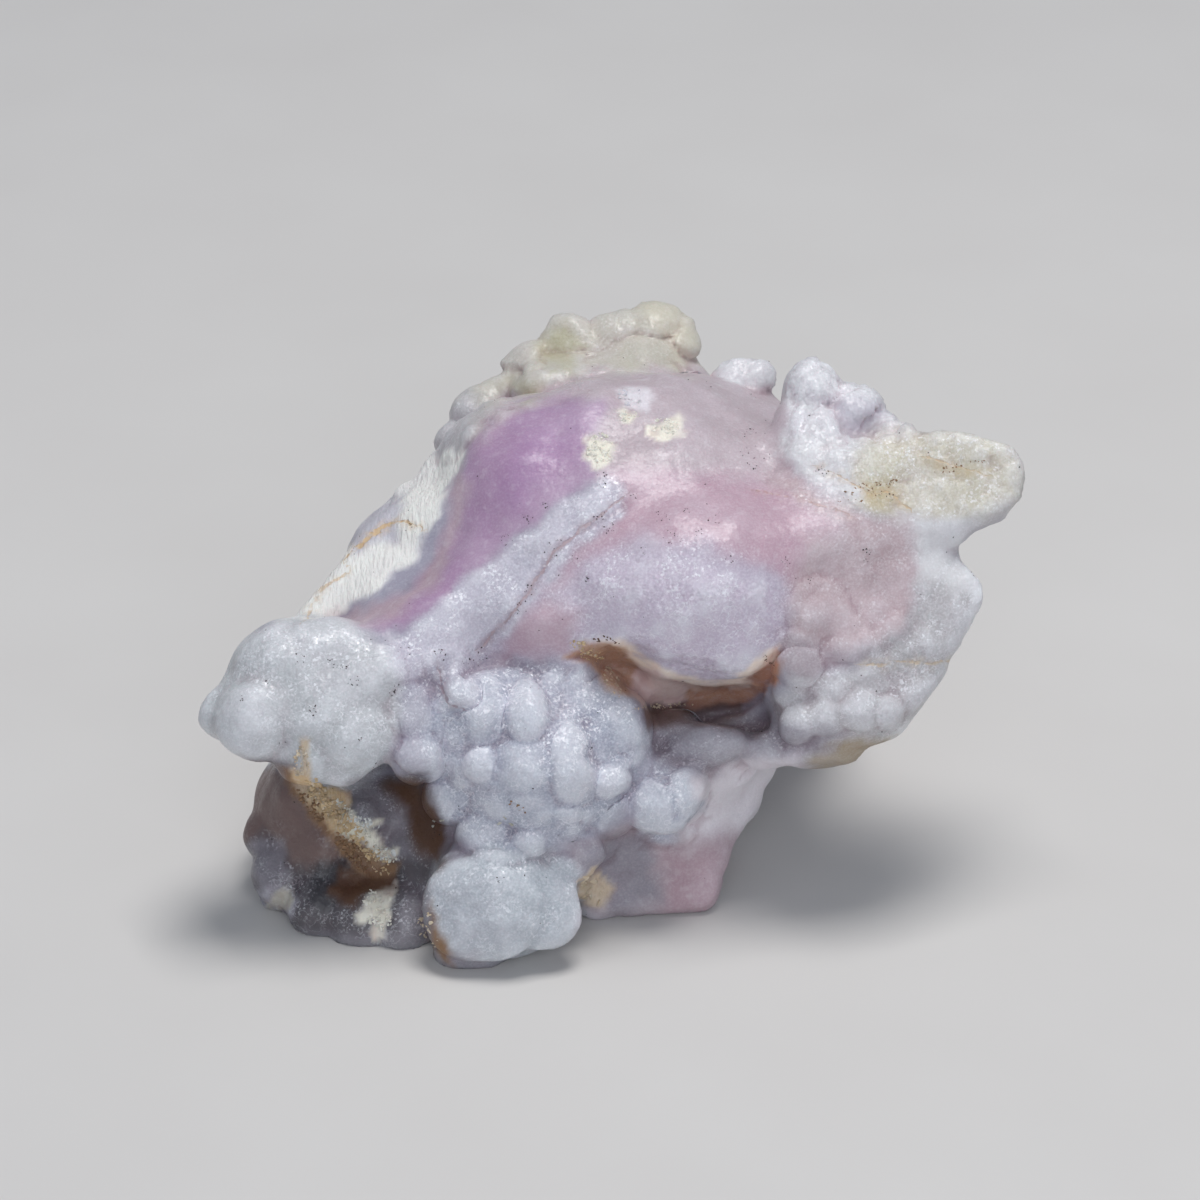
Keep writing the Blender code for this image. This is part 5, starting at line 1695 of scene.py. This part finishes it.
def seam_covers(tree, place):
    """How much of a seam's line, and of the stain round it, covers the surface."""
    _, (distance, strength, half_width, _) = kept(tree, "seam")
    away = maths(tree, "ABSOLUTE", distance)
    pitch, reach = SEAM_RAGGED
    ragged = total(tree, away, product(tree, grain(tree, place, pitch), reach), -reach / 2)
    line = ramp(tree, maths(tree, "SUBTRACT", ragged, half_width), SEAM_EDGE, -SEAM_EDGE)
    near = ramp(tree, away, SEAM_STAIN, 0.0)
    stain = product(tree, near, strength, patches(tree, place, *STAIN_PATCHES), STAIN_SHARE)
    return product(tree, line, strength, patches(tree, place, *SEAM_PATCHES)), stain


def opal_relief(tree, place, finish, covers):
    """Fine relief, in millimetres."""
    frost, crystal, chalk, _ = finish
    sugar_pitch, sugar_height = SUGAR_RELIEF
    crystal_pitch, crystal_height = CRYSTAL_RELIEF
    pebble_pitch, pebble_height = PEBBLE_RELIEF
    fibre_pitch, fibre_height = FIBRE_RELIEF
    sugar, _ = facets(tree, place, sugar_pitch)
    crystals, _ = facets(tree, place, crystal_pitch)
    gap = cells(tree, place, pebble_pitch)["Distance"]
    fibres = grain(tree, stretched(tree, place, FIBRE_TURN, FIBRE_STRETCH), fibre_pitch)
    evenly = [
        product(tree, grain(tree, place, pitch), height) for pitch, height in (ROUGH_RELIEF, WAVE_RELIEF)
    ]
    return total(
        tree,
        product(tree, sugar, total(tree, frost, SUGAR_LEAST), sugar_height),
        product(tree, crystals, crystal, crystal_height),
        product(tree, sugar, crystal, CRYSTAL_SUGAR),
        product(tree, product(tree, gap, gap), frost, pebble_height),
        product(tree, fibres, chalk, fibre_height),
        *evenly,
        product(tree, covers["seam"], SEAM_DEPTH),
    )


def new_material(name):
    material = bpy.data.materials.new(name)
    material.use_nodes = True
    return material, material.node_tree, material.node_tree.nodes["Principled BSDF"]


def let_light_in(shader, values):
    for name, value in values.items():
        shader.inputs[name].default_value = value


def add_bump(tree, shader, height):
    bump = add_node(tree, "ShaderNodeBump")
    bump.inputs["Strength"].default_value = BUMP_STRENGTH
    bump.inputs["Distance"].default_value = MM
    feed(tree, bump.inputs["Height"], height)
    feed(tree, shader.inputs["Normal"], bump.outputs["Normal"])


def opal_material():
    """Cloudy translucent opal, with frost, crystals, chalk and seams where they are painted."""
    material, tree, shader = new_material("opal")
    place, _ = kept(tree, "place")
    _, finish = kept(tree, "finish")
    _, relief = kept(tree, "relief")
    frost, _, chalk, _ = finish
    # Painted glints: cells of a fine grid, picked at random, on frosted skin that faces up
    glint_cells = add_node(tree, "ShaderNodeSeparateColor")
    feed(tree, glint_cells.inputs[0], facets(tree, place, PAINTED_GLINT_PITCH)[1])
    painted_glints = ramp(tree, glint_cells.outputs[0], *PAINTED_GLINT_RANGE)
    seam, stain = seam_covers(tree, place)
    patchy = patches(tree, place, *FROST_PATCHES)
    covers = {
        "painted_glint": product(tree, painted_glints, frost, upward(tree), patchy),
        "lace": product(tree, lace(tree, place), frost, patchy, LACE_SHARE),
        "seam": seam,
        "stain": stain,
    }
    feed(tree, shader.inputs["Base Color"], opal_colour(tree, place, finish, relief, covers))
    uneven = product(tree, grain(tree, place, DULLNESS_PITCH), GRAIN_DULLNESS)
    dull = total(tree, OPAL_DULLNESS, product(tree, chalk, CHALK_DULLNESS), uneven)
    # The painted glint cells are glossier too
    gloss = product(tree, covers["painted_glint"], PAINTED_GLINT_GLOSS)
    feed(tree, shader.inputs["Roughness"], maths(tree, "SUBTRACT", dull, gloss))
    add_bump(tree, shader, opal_relief(tree, place, finish, covers))
    shader.subsurface_method = "BURLEY"
    let_light_in(shader, OPAL_LIGHT)
    return material


def crumb_material():
    """Sugary mineral grains, each in its own kept colour."""
    material, tree, shader = new_material("crumbs")
    place, _ = kept(tree, "place")
    tint, (_, _, _, milky) = kept(tree, "tint")
    speckle = product(tree, patches(tree, place, *CRUMB_PATCHES), milky, CRUMB_PATCH_SHARE)
    feed(tree, shader.inputs["Base Color"], mixed(tree, speckle, tint, CRUMB_PATCH_TINT))
    uneven = product(tree, grain(tree, place, CRUMB_DULLNESS_PITCH), CRUMB_DULLNESS)
    feed(tree, shader.inputs["Roughness"], total(tree, CRUMB_DULLNESS, uneven))
    pitch, height = CRUMB_RELIEF
    add_bump(tree, shader, product(tree, grain(tree, place, pitch), height))
    let_light_in(shader, CRUMB_LIGHT)
    return material


def floor_material():
    material, tree, shader = new_material("pale_floor")
    coordinates = add_node(tree, "ShaderNodeTexCoord")
    cloud = grain(tree, coordinates.outputs["Object"], FLOOR_CLOUD)
    feed(tree, shader.inputs["Base Color"], mixed(tree, cloud, *FLOOR_TONES))
    shader.inputs["Roughness"].default_value = FLOOR_ROUGHNESS
    return material


def wear(piece, material):
    piece.data.materials.clear()
    piece.data.materials.append(material)


def make_stone():
    """The stone with a fine skin, and the tree that finds places on it."""
    stone = build_body("opal_stone")
    grow_knobs(stone)
    carve(stone.data, SKIN_HOLLOWS, [], CHIPS)
    weather(stone)
    carve(stone.data, [], CRACK_PATH, [])
    flatten_feet(stone.data)
    stone.data.shade_smooth()
    return stone, surface_tree(stone)


def add_floor():
    mesh = bpy.data.meshes.new("floor")
    half = FLOOR_WIDTH / 2
    corners = [(-half, -half, 0), (half, -half, 0), (half, half, 0), (-half, half, 0)]
    mesh.from_pydata(corners, [], [range(4)])
    floor = add_object("floor", mesh)
    wear(floor, floor_material())


def aim(obj, place, target):
    obj.location = place
    obj.rotation_euler = (Vector(target) - Vector(place)).to_track_quat("-Z", "Y").to_euler()


def add_camera():
    data = bpy.data.cameras.new("camera")
    data.sensor_width = SENSOR_WIDTH
    data.lens = SENSOR_WIDTH * VIEW_DISTANCE / FRAME_WIDTH
    data.clip_start = CLIP_START
    camera = add_object("camera", data)
    aim(camera, face_point((0, VIEW_UP, VIEW_OUT + VIEW_DISTANCE)), face_point((0, VIEW_UP, VIEW_OUT)))
    bpy.context.scene.camera = camera


def add_lights():
    for name, place, size, watts, tone in LIGHTS:
        data = bpy.data.lights.new(name, "AREA")
        data.size = size
        data.energy = watts
        data.color = tone
        aim(add_object(name, data), place, LIGHT_TARGET)
    world = bpy.data.worlds.new("studio")
    world.use_nodes = True
    background = world.node_tree.nodes["Background"]
    background.inputs["Color"].default_value = WORLD_TONE
    background.inputs["Strength"].default_value = WORLD_STRENGTH
    bpy.context.scene.world = world


def main():
    noise.seed_set(NOISE_SEED)
    stone, tree = make_stone()
    paint_stone(stone)
    wear(stone, opal_material())
    crumbs = make_crumbs(stone, tree)
    wear(crumbs, crumb_material())
    for piece in (stone, crumbs):
        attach(piece, "root")
    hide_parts("pink_opal")
    add_floor()
    add_camera()
    add_lights()
    bpy.context.scene.view_settings.view_transform = "Standard"


main()
